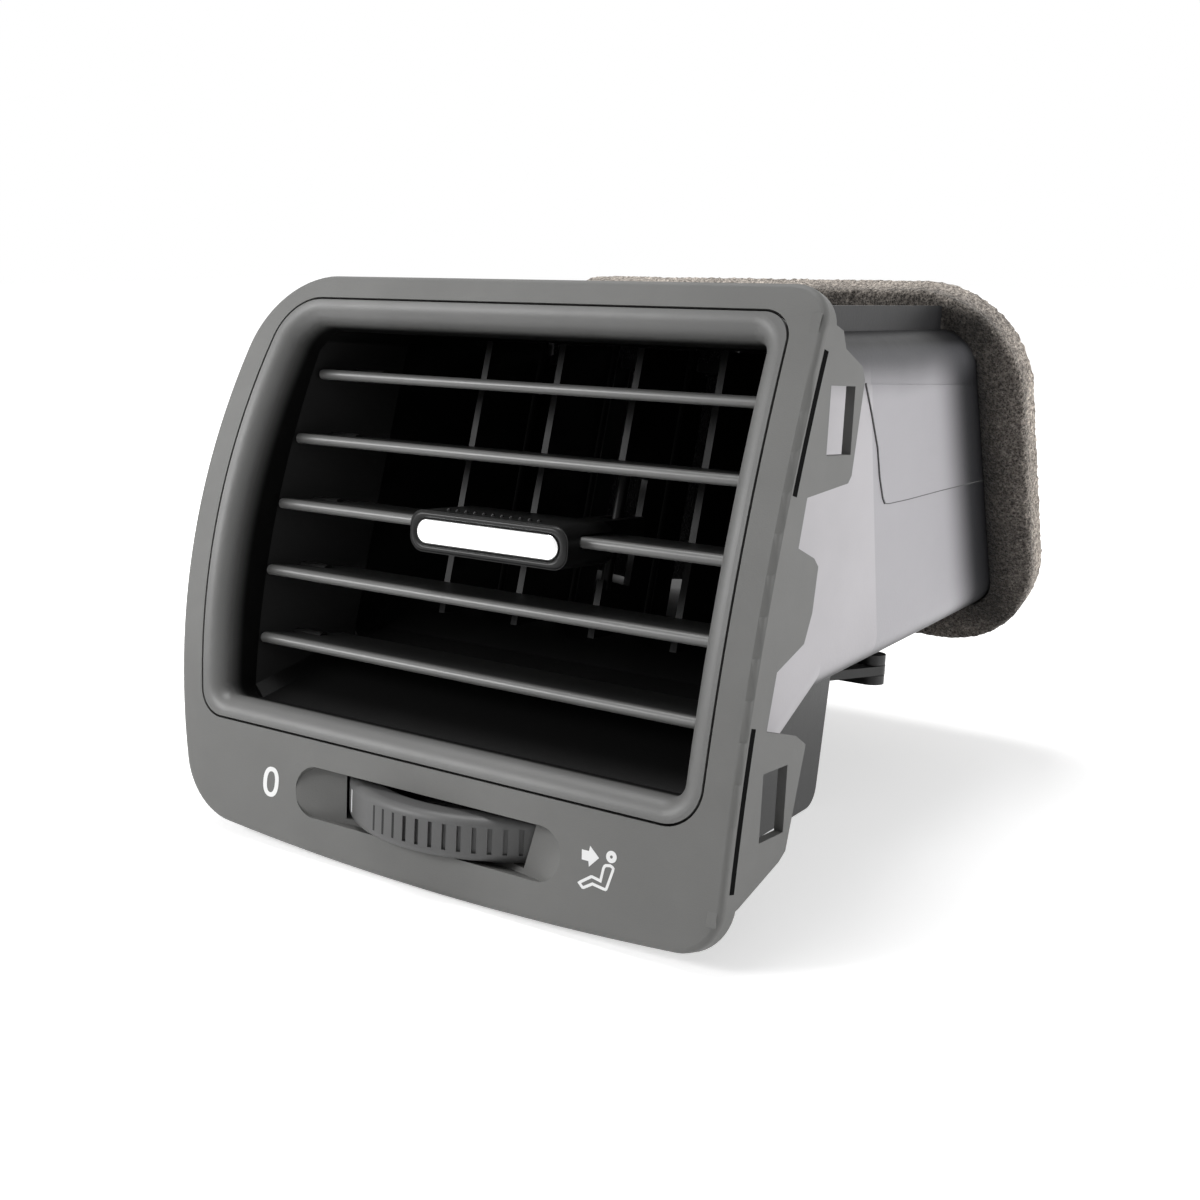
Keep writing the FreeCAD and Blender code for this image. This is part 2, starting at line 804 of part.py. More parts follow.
def left_tabs():
    """Two plain snap tabs behind the left rim, which is hidden in the dashboard."""
    tabs = new_body("left_tabs")
    plate = -(S.face_half - 5.6)
    front = as_size(-2.5)

    def corner(z, depth):
        return at_depth(as_size(depth), as_size(z)), as_size(z)

    lower = [corner(31, front), corner(31, 16), corner(44.5, 16), corner(50, front)]
    upper = [corner(72, front), corner(74, 16), corner(87.5, 16), corner(93, front)]
    pad(tabs, loop_sketch(tabs, "YZ", lower, upper, level=plate - PLATE_THICK), PLATE_THICK)
    windows = loop_sketch(
        tabs, "YZ",
        [corner(34, 5), corner(34, 13), corner(42, 13), corner(42, 5)],
        [corner(77, 5), corner(77, 13), corner(85, 13), corner(85, 5)],
        level=plate,
    )
    pocket(tabs, windows)
    return tabs


# Inner frame: the ring around the opening and the sleeve that carries the slats

def sleeve_section(body, depth, grown, front):
    """One end of the sleeve, with clipped corners; the front end meets the ring."""
    if front:
        left, right, low, high = -PASSAGE_HALF, PASSAGE_HALF, PASSAGE_BOTTOM, PASSAGE_TOP
        bulge = PASSAGE_RADIUS
    else:
        left, right = S.carrier_left, CARRIER_RIGHT
        low = (S.ramp_foot + S.carrier_front * sin(S.lean)) / cos(S.lean)
        high = (S.carrier_roof + S.carrier_front * sin(S.lean)) / cos(S.lean)
        bulge = 10 * PASSAGE_RADIUS
    right, low, high, bulge = right + grown, low - grown, high + grown, bulge + grown
    half = grown - left
    clip = S.sleeve_clip + 0.586 * grown
    points = [
        (bulge_x(half, bulge, low) + clip, low),
        (right - clip, low),
        (right, low + clip),
        (right, high - clip),
        (right - clip, high),
        (bulge_x(half, bulge, high) + clip, high),
        (bulge_x(half, bulge, high - clip), high - clip, bulge),
        (bulge_x(half, bulge, low + clip), low + clip),
    ]
    return loop_sketch(body, "XZ", points, level=-depth, leaning=True)


def sleeve_block(label, grown):
    """The sleeve as a solid, its walls grown outwards."""
    block = new_body(label)
    loft(block, [sleeve_section(block, S.ring_depth - 0.5, grown, True),
                 sleeve_section(block, S.carrier_front, grown, False)])
    return block


def inner_frame():
    ring = outline_block("ring_block", RING_SHAPE.inset(S.ring_groove), S.ring_depth)
    pocket(ring, outline_sketch(ring, PASSAGE_SHAPE))
    inner_reach = S.ring_half.value - S.ring_width.value + 0.1

    def inner_lip(edge):
        place = middle(edge)
        low, high = PASSAGE_BOTTOM.value - 0.1, PASSAGE_TOP.value + 0.1
        return on_crown(edge) and abs(place.x) < inner_reach and low < place.dot(UP_FACE) < high

    round_edges(ring, S.ring_rounding, inner_lip)

    sleeve = sleeve_block("sleeve_walls", S.frame_wall)
    hollow = sleeve_block("sleeve_hollow", NONE)
    holes = new_body("slat_holes")
    circles = [slat_pivot(n) + (S.slat_pin + 2 * S.pin_gap,) for n in range(SLATS)]
    pad(holes, circle_sketch(holes, "YZ", *circles), 2 * FAR, both_ways=True)
    return fuse("inner_frame", ring, cut("sleeve", sleeve, hollow, holes))


# Vane carrier: the box behind the slats that the vanes turn in

def carrier_profile(grown, extra):
    """The carrier's side view, with the floor's ramp; extra lengthens it at both ends."""
    front, rear = S.carrier_front - extra, S.carrier_rear + extra
    roof = S.carrier_roof + grown
    floor = S.carrier_floor - grown
    toe = S.ramp_toe_z - grown
    foot = S.ramp_foot - grown
    return [
        (at_depth(front, foot), foot),
        (S.ramp_toe_y, toe),
        (S.ramp_head_y, floor),
        (at_depth(rear, floor), floor),
        (at_depth(rear, roof), roof),
        (at_depth(front, roof), roof),
    ]


def carrier_block(label, grown, extra):
    """The carrier as a solid, its walls grown outwards and its long edges rounded."""
    block = new_body(label)
    left, right = S.carrier_left - grown, CARRIER_RIGHT + grown
    pad(block, loop_sketch(block, "YZ", carrier_profile(grown, extra), level=left), right - left)

    def long_edge(edge):
        way = edge.tangentAt(edge.FirstParameter)
        return abs(way.x) < 1e-6 and abs(way.dot(UP_FACE)) < 0.9

    round_edges(block, S.lip_corner + grown, long_edge)
    return block


def vane_carrier():
    outer = carrier_block("carrier_outer", S.frame_wall, as_size(-0.2))
    inner = carrier_block("carrier_hollow", NONE, as_size(5))
    holes = new_body("vane_holes")
    circles = [(vane_x(n), S.vane_axis, S.vane_pin + 2 * S.pin_gap) for n in range(VANES)]
    pad(holes, circle_sketch(holes, "XY", *circles, leaning=True), 2 * FAR, both_ways=True)
    return cut("vane_carrier", outer, inner, holes)


# Slats and their link

def slat(number):
    u = slat_level(number)
    blade = new_body("slat_%d" % (number + 1))
    nose, tail = S.slat_nose / 2, S.slat_tail / 2
    straight = -S.slat_front + nose
    profile = [
        (straight, nose, nose * 1.0001),
        (straight, -nose),
        (S.slat_rear - tail, -tail, tail * 1.0001),
        (S.slat_rear - tail, tail),
    ]
    left = -PASSAGE_HALF
    right = PASSAGE_HALF - S.slat_end_gap
    pad(blade, loop_sketch(blade, "YZ", profile, level=left), right - left)
    # The left end follows the wall, which runs in behind the ring
    front_x = bulge_x(PASSAGE_HALF, PASSAGE_RADIUS, u) + S.slat_left_gap
    run = (S.carrier_left + PASSAGE_HALF) / (S.carrier_front - S.ring_depth)
    front_depth = crown_depth(u) + S.slat_recess
    rear_depth = front_depth + (S.slat_front + S.slat_rear) * cos(S.lean)
    start = (S.ring_depth - front_depth) / cos(S.lean) - S.slat_front
    rear_x = front_x + run * (rear_depth - S.ring_depth)
    off = [
        (front_x, -S.slat_front - 5), (front_x, start), (rear_x, S.slat_rear), (rear_x, S.slat_rear + 5),
        (left - 5, S.slat_rear + 5), (left - 5, -S.slat_front - 5),
    ]
    pocket(blade, loop_sketch(blade, "XY", off))
    # Pivot pins, and the crank outside the left wall
    pin_right = PASSAGE_HALF + S.frame_wall - 0.2
    pad(blade, circle_sketch(blade, "YZ", (0, 0, S.slat_pin), level=right - 2), pin_right - right + 2)
    crank_left = S.crank_plane - S.crank_plate
    pad(blade, circle_sketch(blade, "YZ", (0, 0, S.slat_pin), level=crank_left), rear_x - crank_left)
    arm = S.link_eye / 2
    plate = [
        (0, arm, arm * 1.0001), (0, -arm), (S.slat_crank, -arm, arm * 1.0001), (S.slat_crank, arm),
    ]
    pad(blade, loop_sketch(blade, "YZ", plate, level=crank_left), S.crank_plate)
    pin_long = S.side_gap + S.slat_link_thick + 0.3
    pin = circle_sketch(blade, "YZ", (S.slat_crank, 0, S.link_pin), level=crank_left - pin_long)
    pad(blade, pin, pin_long + S.crank_plate / 2)
    return blade


def slat_link():
    """The bar that joins the five slat cranks, with an eye at each pin."""
    link = new_body("slat_link")
    left = S.crank_plane - S.crank_plate - S.side_gap - S.slat_link_thick
    pins = [(slat_pivot(n)[0] + S.slat_crank, slat_pivot(n)[1]) for n in range(SLATS)]
    strip = S.link_eye / 2 - 0.6
    down = [(y - strip, z) for y, z in pins]
    up = [(y + strip, z) for y, z in reversed(pins)]
    pad(link, loop_sketch(link, "YZ", down + up, level=left), S.slat_link_thick)
    for pin in pins:
        pad(link, circle_sketch(link, "YZ", pin + (S.link_eye,), level=left), S.slat_link_thick)
    holes = [pin + (S.link_pin + 2 * S.pin_gap,) for pin in pins]
    pocket(link, circle_sketch(link, "YZ", *holes, level=left))
    return link


# Vanes and their link

VANE_TOP = S.carrier_roof - S.vane_gap
VANE_BOTTOM = S.carrier_floor + S.vane_gap
NOTCH_U = (VANE_TOP + (S.vane_axis + S.vane_crank) * sin(S.lean)) / cos(S.lean) - S.notch_height


def face_u(depth, z):
    """The u of a point given by its depth and height."""
    return (z + depth * sin(S.lean)) / cos(S.lean)


def vane(number):
    blade = new_body("vane_%d" % (number + 1))
    profile = [
        (S.vane_nose, face_u(S.vane_nose, VANE_BOTTOM)),
        (S.vane_tail, face_u(S.vane_tail, VANE_BOTTOM)),
        (S.vane_tail, NOTCH_U),
        (S.vane_axis + 3, NOTCH_U),
        (S.vane_axis + 3, face_u(S.vane_axis + 3, VANE_TOP)),
        (S.vane_nose, face_u(S.vane_nose, VANE_TOP)),
    ]
    sketch = loop_sketch(blade, "YZ", profile, leaning=True)
    pad(blade, sketch, S.vane_thick, both_ways=True)
    low_u = face_u(S.vane_axis, S.carrier_floor - S.frame_wall + 0.5)
    high_u = face_u(S.vane_axis, S.carrier_roof + S.frame_wall - 0.5)
    axis = circle_sketch(blade, "XY", (0, S.vane_axis, S.vane_pin), level=low_u, leaning=True)
    pad(blade, axis, high_u - low_u)
    crank = (0, S.vane_axis + S.vane_crank, S.link_pin)
    pin = circle_sketch(blade, "XY", crank, level=NOTCH_U - 4, leaning=True)
    pad(blade, pin, 4 + S.side_gap + S.vane_link_thick + 0.3)
    if number == KNOB_VANE:
        z = slat_pivot(MIDDLE_SLAT)[1]
        low, high = face_u(S.rod_depth, z - S.window_down), face_u(S.rod_depth, z + S.window_up)
        window = box_loop(S.vane_nose - 5, S.window_depth, low, high)
        pocket(blade, loop_sketch(blade, "YZ", window, leaning=True))
        rod = circle_sketch(blade, "XY", (0, S.rod_depth, S.vane_rod), level=low - 2, leaning=True)
        pad(blade, rod, high - low + 4)
    return blade


def vane_link():
    """The bar across the four vanes, in their top rear notches."""
    link = new_body("vane_link")
    half = S.vane_link_wide / 2
    depth = S.vane_axis + S.vane_crank
    level = NOTCH_U + S.side_gap
    ends = [vane_x(n) for n in (0, VANES - 1)]
    bar = [
        (ends[0], depth + half, half * 1.0001), (ends[0], depth - half),
        (ends[1], depth - half, half * 1.0001), (ends[1], depth + half),
    ]
    pad(link, loop_sketch(link, "XY", bar, level=level, leaning=True), S.vane_link_thick)
    holes = [(vane_x(n), depth, S.link_pin + 2 * S.pin_gap) for n in range(VANES)]
    pocket(link, circle_sketch(link, "XY", *holes, level=level, leaning=True))
    return link


# Sliding knob: in its own frame, with the middle slat's pivot at the origin

KNOB_FRONT = -(S.slat_front + S.knob_reach)


def knob_body():
    knob = new_body("knob_body")
    half_high = S.knob_high / 2
    front = loop_sketch(knob, "XZ", box_loop(-S.knob_half, S.knob_half, -S.knob_drop - half_high,
                                             half_high - S.knob_drop), level=-KNOB_FRONT)
    pad(knob, front, S.knob_back - KNOB_FRONT, reverse=True)
    round_edges(knob, S.knob_corner, lambda edge: is_straight(edge, Vector(0, 1, 0)))
    fork_x = vane_x(KNOB_VANE) - S.knob_x
    inner = S.vane_rod / 2 + S.fork_gap
    outer = inner + S.fork_prong
    arm_low = S.slat_nose / 2 + S.knob_slot_gap
    arm_high = half_high - S.knob_drop - 0.3
    arm = box_loop(fork_x - outer, fork_x + outer, S.knob_back - 6, S.slat_rear + 3.4)
    pad(knob, loop_sketch(knob, "XY", arm, level=arm_low), arm_high - arm_low)
    prongs = [
        box_loop(fork_x + side - S.fork_prong / 2, fork_x + side + S.fork_prong / 2,
                 S.slat_rear + 1, S.fork_end)
        for side in (-(inner + S.fork_prong / 2), inner + S.fork_prong / 2)
    ]
    pad(knob, loop_sketch(knob, "XY", *prongs, level=as_size(-1.6)), arm_high + 1.6)
    gap = S.knob_slot_gap
    nose = S.slat_nose / 2 + gap
    slot = [
        (-S.slat_front + nose - gap, nose, nose * 1.0001), (-S.slat_front + nose - gap, -nose),
        (S.slat_rear, -nose), (S.slat_rear, nose),
    ]
    pocket(knob, loop_sketch(knob, "YZ", slot), 4 * S.knob_half)
    seat = S.trim_thick - S.trim_proud
    pocket(knob, loop_sketch(knob, "XZ", trim_loop(as_size(0.1)), level=-KNOB_FRONT), seat, both_ways=False)
    damper_seat = box_loop(-(S.damper_long / 2 + 0.1), S.damper_long / 2 + 0.1, -5.1, -0.9)
    ceiling = loop_sketch(knob, "XY", damper_seat, level=nose - 0.1)
    pocket(knob, ceiling, S.damper_thick + 0.1, both_ways=False, reverse=True)
    return knob


def trim_loop(grown=NONE):
    radius = S.trim_high / 2 + grown
    straight = (S.trim_long - S.trim_high) / 2
    low, high = -S.knob_drop - radius, radius - S.knob_drop
    return [(-straight, low), (straight, low, radius * 1.0001), (straight, high),
            (-straight, high, radius * 1.0001)]


def knob_trim():
    trim = new_body("knob_trim")
    back = -KNOB_FRONT - (S.trim_thick - S.trim_proud)
    pad(trim, loop_sketch(trim, "XZ", trim_loop(), level=back), S.trim_thick)
    front_y = KNOB_FRONT.value - S.trim_proud.value
    round_edges(trim, 0.6, lambda edge: abs(middle(edge).y - front_y) < 0.01)
    return trim


def knob_damper():
    """The soft strip between the knob and the slat that holds the knob where it is left."""
    damper = new_body("knob_damper")
    level = S.slat_nose / 2 + S.knob_slot_gap - 0.1
    strip = box_loop(-S.damper_long / 2, S.damper_long / 2, as_size(-5), as_size(-1))
    pad(damper, loop_sketch(damper, "XY", strip, level=level), S.damper_thick)
    return damper


# Thumbwheel, in its own frame with its axis at the origin

# Where the wheel's rim starts and ends, and where its smooth field ends, in degrees
RIM_START = -125
RIM_END = 47
SMOOTH_END = -26


def ring_sector(body, inner, outer, start, end, level, height):
    """A sector of a ring, between two angles from the front, towards the right."""
    def place(radius, angle):
        turn = math.radians(angle)
        return radius * math.sin(turn), -radius * math.cos(turn)

    points = [
        place(inner, start), place(outer, start) + (outer,), place(outer, (start + end) / 2) + (outer,),
        place(outer, end), place(inner, end) + (-inner,), place(inner, (start + end) / 2) + (-inner,),
    ]
    pad(body, loop_sketch(body, "XY", points, level=level), height)


def thumbwheel():
    wheel = new_body("thumbwheel")
    half = S.wheel_thick / 2
    rim_low = -half
    ring_sector(wheel, S.wheel_radius - S.wheel_rim, S.wheel_radius, RIM_START, RIM_END, rim_low, S.wheel_thick)
    radius = S.wheel_radius.value

    def outer_edge(edge):
        place = middle(edge)
        return abs(math.hypot(place.x, place.y) - radius) < 0.01 and abs(abs(place.z) - half.value) < 0.01

    round_edges(wheel, S.wheel_shoulder, outer_edge)
    web = S.wheel_web / 2
    disc = circle_sketch(wheel, "XY", (0, 0, 2 * S.wheel_radius - 2 * S.wheel_rim + 1), level=-web)
    pad(wheel, disc, S.wheel_web)
    hub = circle_sketch(wheel, "XY", (0, 0, 2 * S.wheel_hub), level=-half)
    pad(wheel, hub, S.wheel_thick)
    post_top = S.bar_front_z - S.wheel_level - S.side_gap
    post = circle_sketch(wheel, "XY", (S.wheel_crank, 0, S.drive_pin + 3), level=-web)
    pad(wheel, post, post_top + web)
    pin = circle_sketch(wheel, "XY", (S.wheel_crank, 0, S.drive_pin), level=NONE)
    pad(wheel, pin, post_top + S.side_gap + S.bar_thick + 0.4)
    pocket(wheel, circle_sketch(wheel, "XY", (0, 0, S.wheel_bore + 2 * S.pin_gap)))
    knurls(wheel)
    return wheel


def knurls(wheel):
    """Grip grooves across the rim, all round but for the smooth field at the index line."""
    deep = S.wheel_radius - S.knurl_deep
    half = S.knurl_wide / 2
    groove = box_loop(-half, half, -(S.wheel_radius + 1), -deep)
    count = int((RIM_END - SMOOTH_END) / S.knurl_angle.value)
    sketch = loop_sketch(wheel, "XY", groove, level=-S.knurl_high / 2)
    first = pocket(wheel, sketch, S.knurl_high, both_ways=False, reverse=True)
    doc.recompute()
    pattern = wheel.newObject("PartDesign::PolarPattern", "Knurls")
    pattern.Originals = [first]
    pattern.Axis = (wheel.Origin.OriginFeatures[2], [""])
    pattern.Mode = "Spacing"
    pattern.Offset = S.knurl_angle.value
    pattern.setExpression("Offset", S.knurl_angle.text)
    pattern.Occurrences = count
    wheel.Tip = pattern



# Wheel housing

def wheel_housing():
    """The open tray under the duct that the thumbwheel turns in; its rear edge meets the ground."""
    def tray(label, inset, drop):
        piece = new_body(label)
        left, right = S.housing_left + inset, S.housing_right - inset
        front, rear = S.housing_front + inset, S.housing_rear - inset
        lift = S.housing_floor if drop else NONE
        top = S.housing_gap - (as_size(20) if drop else NONE)
        chin_y = at_depth(S.duct_front, S.duct_chin)
        ring_low = S.ring_bottom * cos(S.lean) - S.ring_depth * sin(S.lean)
        brow = rear + S.housing_lean
        profile = [
            (front, ground(front) + lift + S.housing_chin),
            (S.housing_toe_y, ground(S.housing_toe_y) + lift + S.housing_toe),
            (rear, ground(rear) + lift),
            (brow, duct_floor(brow) - top),
            (S.duct_heel_y, S.duct_heel_z - top), (S.duct_toe_y, S.duct_toe_z - top),
            (chin_y, S.duct_chin - top), (chin_y, ring_low - top), (front, ring_low - top),
        ]
        pad(piece, loop_sketch(piece, "YZ", profile, level=left), right - left)
        return piece

    outer = tray("housing_outer", NONE, False)
    doc.recompute()
    rear_y = S.housing_rear.value
    round_edges(outer, 5, lambda edge: is_straight(edge, Vector(1, 0, 0))
                and abs(middle(edge).y - rear_y) < 0.01)
    inner = tray("housing_hollow", S.housing_wall, True)
    slot = new_body("link_slot")
    low = BAR_REAR_Z - 2.5
    pad(slot, loop_sketch(slot, "XZ", box_loop(15, 44, low, BAR_REAR_Z + S.bar_thick + 2.5),
                          level=-(S.housing_rear + 8)), 16)
    mouth = new_body("wheel_mouth")
    reach = S.recess_half + S.recess_wall + 0.5
    mouth_loop = box_loop(S.wheel_x - reach, S.wheel_x + reach, S.wheel_level - 9, S.wheel_level + 6.7)
    pad(mouth, loop_sketch(mouth, "XZ", mouth_loop, level=-(S.housing_front + 6)), 16)
    shell = cut("housing_shell", outer, inner, slot, mouth)
    spindle = new_body("wheel_spindle")
    bottom = ground(WHEEL_Y) + 0.4
    disc_low = S.wheel_level - S.wheel_thick / 2 - S.side_gap
    pad(spindle, circle_sketch(spindle, "XY", (S.wheel_x, WHEEL_Y, S.wheel_bore + 4), level=bottom),
        disc_low - bottom)
    pad(spindle, circle_sketch(spindle, "XY", (S.wheel_x, WHEEL_Y, S.wheel_bore), level=bottom),
        S.wheel_level + S.wheel_thick / 2 + 0.6 - bottom)
    return fuse("wheel_housing", shell, spindle)


# Duct

def outlet_point(line, rise, behind):
    """The y and z where a rising line of the duct meets the plane that far behind the outlet's."""
    c, s = cos(S.outlet_lean), sin(S.outlet_lean)
    level = line(NONE)
    y = (behind + S.outlet_y * c + (S.outlet_z - level) * s) / (c + rise * s)
    return y, line(y)


def trunk(label, inset, overrun):
    """The duct's trunk as a solid; inset makes the hollow, and overrun lengthens its ends."""
    piece = new_body(label)
    front = S.duct_front - overrun
    behind = S.gasket_thick - S.gasket_over + overrun
    chin = S.duct_chin + inset
    brow = duct_roof(S.duct_toe_y, inset)
    profile = [
        (at_depth(front, chin), chin),
        (S.duct_toe_y, S.duct_toe_z + inset),
        (S.duct_heel_y, S.duct_heel_z + inset),
        outlet_point(lambda y: duct_floor(y, inset), S.duct_floor_rise, behind),
        outlet_point(lambda y: duct_roof(y, inset), S.duct_roof_rise, behind),
        (at_depth(front, brow), brow),
    ]
    left, right = S.duct_left + inset, S.duct_right - inset
    pad(piece, loop_sketch(piece, "YZ", profile, level=left), right - left)
    corner = S.duct_corner - inset

    def long_edge(edge):
        place = middle(edge)
        way = edge.tangentAt(edge.FirstParameter)
        behind_toe = place.y > S.duct_toe_y.value
        return abs(way.x) < 1e-6 and abs(way.y) > abs(way.z) and behind_toe and isinstance(edge.Curve, Part.Line)

    round_edges(piece, corner, long_edge)
    return piece


def rounded_loop(left, right, low, high, radius):
    """A rectangle with rounded corners."""
    bend = radius * 1.0001
    return [
        (left + radius, low), (right - radius, low, bend), (right, low + radius),
        (right, high - radius, bend), (right - radius, high), (left + radius, high, bend),
        (left, high - radius), (left, low + radius, bend),
    ]


def air_duct():
    rail = new_body("duct_rail")
    rail_loop = [
        (S.rail_start, duct_roof(S.rail_start) - 1), (S.rail_end, duct_roof(S.rail_end) - 1),
        (S.rail_end, duct_roof(S.rail_end) + S.rail_high), (S.rail_start, duct_roof(S.rail_start) + S.rail_high),
    ]
    pad(rail, loop_sketch(rail, "YZ", rail_loop, level=S.rail_x - S.rail_thick), S.rail_thick)
    outer = fuse("duct_solid", trunk("duct_outer", NONE, NONE), rail)
    notch = new_body("duct_notch")
    # The left wall starts behind the slat cranks
    high, low = S.duct_roof_z + 20, S.duct_chin - 10
    clear = S.carrier_front + 0.5
    pad(notch, loop_sketch(notch, "YZ", [
        (at_depth(-20 + NONE, low), low), (at_depth(clear, low), low),
        (at_depth(clear, high), high), (at_depth(-20 + NONE, high), high),
    ], level=S.duct_left - 5), 12)
    shafts = new_body("flap_holes")
    circles = [(x, S.flap_y, S.flap_shaft + 2 * S.pin_gap) for x in FLAP_X.values()]
    pad(shafts, circle_sketch(shafts, "XY", *circles), 2 * FAR, both_ways=True)
    return cut("air_duct", outer, trunk("duct_hollow", S.duct_wall, as_size(10)), notch, shafts,
               sleeve_block("sleeve_room", S.frame_wall + S.duct_room),
               carrier_block("carrier_room", S.frame_wall + S.duct_room, as_size(1)))


def foam_gasket():
    """The foam ring round the duct's end, square to the leaning outlet."""
    block = new_body("gasket_block")
    outer = rounded_loop(S.duct_left - S.gasket_side, S.duct_right + S.gasket_side,
                         -S.gasket_low, S.gasket_top, S.gasket_corner)
    pad(block, loop_sketch(block, "XZ", outer, level=-S.gasket_thick), S.gasket_thick)
    lean = Rotation(Vector(1, 0, 0), S.outlet_lean.value)
    block.Placement = Placement(Vector(0, S.outlet_y.value, S.outlet_z.value), lean)
    return cut("foam_gasket", block, trunk("gasket_hole", -S.gasket_room, as_size(10)))


# Flaps, their seals and cranks, and the bars that drive them; frames at the flap shafts

def flap_outline(trim):
    """The blade's outline: its ends narrow, because the duct's floor and roof rise."""
    reach = FLAP_HALF - S.flap_gap - trim
    floor = duct_floor(S.flap_y, S.duct_wall) + S.flap_gap + trim
    roof = duct_roof(S.flap_y, S.duct_wall) - S.flap_gap - trim
    floor_end = floor + reach * S.duct_floor_rise + 0.4
    roof_end = roof - reach * S.duct_roof_rise - 0.4
    clip = S.flap_corner
    return [
        (-reach, floor_end + clip), (clip - reach, floor_end), (0, floor), (reach - clip, floor_end),
        (reach, floor_end + clip), (reach, roof_end - clip), (reach - clip, roof_end), (0, roof),
        (clip - reach, roof_end), (-reach, roof_end - clip),
    ]


def flap(side):
    blade = new_body("flap_" + side)
    pad(blade, loop_sketch(blade, "XZ", flap_outline(as_size(0.6))), S.flap_thick, both_ways=True)
    low = S.crank_top - S.crank_thick
    high = duct_roof(S.flap_y) - 0.3
    pad(blade, circle_sketch(blade, "XY", (0, 0, S.flap_shaft), level=low), high - low)
    return blade


def flap_seal(side):
    """The soft sheet on the blade's front, which covers the shaft."""
    seal = new_body("flap_seal_" + side)
    sheet = loop_sketch(seal, "XZ", flap_outline(NONE), level=S.flap_thick / 2)
    pad(seal, sheet, S.seal_thick)
    pocket(seal, circle_sketch(seal, "XY", (0, 0, S.flap_shaft + 0.1)))
    return seal


def crank_loop(length, width):
    half = width / 2
    return [(0, -half), (length, -half, half * 1.0001), (length, half), (0, half, half * 1.0001)]


def flap_crank(side):
    crank = new_body("flap_crank_" + side)
    low = S.crank_top - S.crank_thick
    pad(crank, loop_sketch(crank, "XY", crank_loop(S.wheel_crank, S.bar_wide), level=low), S.crank_thick)
    hub = circle_sketch(crank, "XY", (0, 0, S.flap_shaft + 4), level=low)
    pad(crank, hub, S.crank_thick + 3)
    pocket(crank, circle_sketch(crank, "XY", (0, 0, S.flap_shaft)))
    pin_low = BAR_REAR_Z - S.bar_thick - 0.6
    pad(crank, circle_sketch(crank, "XY", (S.wheel_crank, 0, S.drive_pin), level=pin_low), low - pin_low + 0.5)
    return crank


def flap_tie():
    """The bar between the two flap cranks; its frame is at the right crank's pin."""
    tie = new_body("flap_tie")
    half = S.bar_wide / 2
    length = 2 * FLAP_HALF
    level = BAR_REAR_Z - S.bar_thick - 0.2
    bar = [(-length, -half), (0, -half, half * 1.0001), (0, half), (-length, half, half * 1.0001)]
    pad(tie, loop_sketch(tie, "XY", bar, level=level), S.bar_thick)
    hole = S.drive_pin + 2 * S.pin_gap
    pocket(tie, circle_sketch(tie, "XY", (0, 0, hole), (-length, 0, hole), level=level))
    return tie


def wheel_link():
    """The joggled bar from the wheel's pin to the right flap's crank; x runs along it."""
    link = new_body("wheel_link")
    run_x = FLAP_X["right"] - S.wheel_x
    run_y = S.flap_y - WHEEL_Y
    length = root(run_x * run_x + run_y * run_y)
    front, rear, thick = S.bar_front_z, BAR_REAR_Z, S.bar_thick
    start, end = as_size(30), as_size(46)
    side_view = [
        (0, front), (start, front), (end, rear), (length, rear), (length, rear + thick),
        (end - 0.8, rear + thick), (start - 0.8, front + thick), (0, front + thick),
    ]
    pad(link, loop_sketch(link, "XZ", side_view), S.bar_wide, both_ways=True)
    pad(link, circle_sketch(link, "XY", (0, 0, S.bar_wide), level=front), thick)
    pad(link, circle_sketch(link, "XY", (length, 0, S.bar_wide), level=rear), thick)
    hole = S.drive_pin + 2 * S.pin_gap
    pocket(link, circle_sketch(link, "XY", (0, 0, hole), (length, 0, hole)))
    return link


# Build every piece, and place it in the housing frame

def in_housing(x=0, y=0, z=0, turn=0):
    place = Vector(*(as_size(number).value for number in (x, y, z)))
    return Placement(place, Rotation(Vector(0, 0, 1), turn))


pieces = [
    (bezel(), in_housing()),
    (inner_frame(), in_housing()),
    (vane_carrier(), in_housing()),
    (air_duct(), in_housing()),
    (foam_gasket(), in_housing()),
    (wheel_housing(), in_housing()),
    (slat_link(), in_housing()),
    (vane_link(), in_housing()),
]
for n in range(SLATS):
    y, z = slat_pivot(n)
    pieces.append((slat(n), in_housing(0, y, z)))
for n in range(VANES):
    pieces.append((vane(n), in_housing(vane_x(n))))
knob_y, knob_z = slat_pivot(MIDDLE_SLAT)
for piece in (knob_body(), knob_trim(), knob_damper()):
    pieces.append((piece, in_housing(S.knob_x, knob_y, knob_z)))
pieces.append((thumbwheel(), in_housing(S.wheel_x, WHEEL_Y, S.wheel_level)))
for side, x in FLAP_X.items():
    for make in (flap, flap_seal, flap_crank):
        pieces.append((make(side), in_housing(x, S.flap_y)))
pieces.append((flap_tie(), in_housing(FLAP_X["right"] + S.wheel_crank, S.flap_y)))
link_turn = math.degrees(math.atan2((S.flap_y - WHEEL_Y).value, (FLAP_X["right"] - S.wheel_x).value))
pieces.append((wheel_link(), in_housing(S.wheel_x + S.wheel_crank, WHEEL_Y, 0, link_turn)))
doc.recompute()

# Tip the vent back onto its wheel housing, and set the origin under the middle of its box
tip = Placement(Vector(), Rotation(Vector(1, 0, 0), -S.tip.value))
for piece, place in pieces:
    piece.Placement = tip.multiply(place)
doc.recompute()
box = Part.makeCompound([piece.Shape for piece, place in pieces]).optimalBoundingBox(False, False)
shift = Vector(-(box.XMin + box.XMax) / 2, -(box.YMin + box.YMax) / 2, -box.ZMin)
stand = Placement(shift, Rotation()).multiply(tip)
for piece, place in pieces:
    piece.Placement = stand.multiply(place)
doc.recompute()

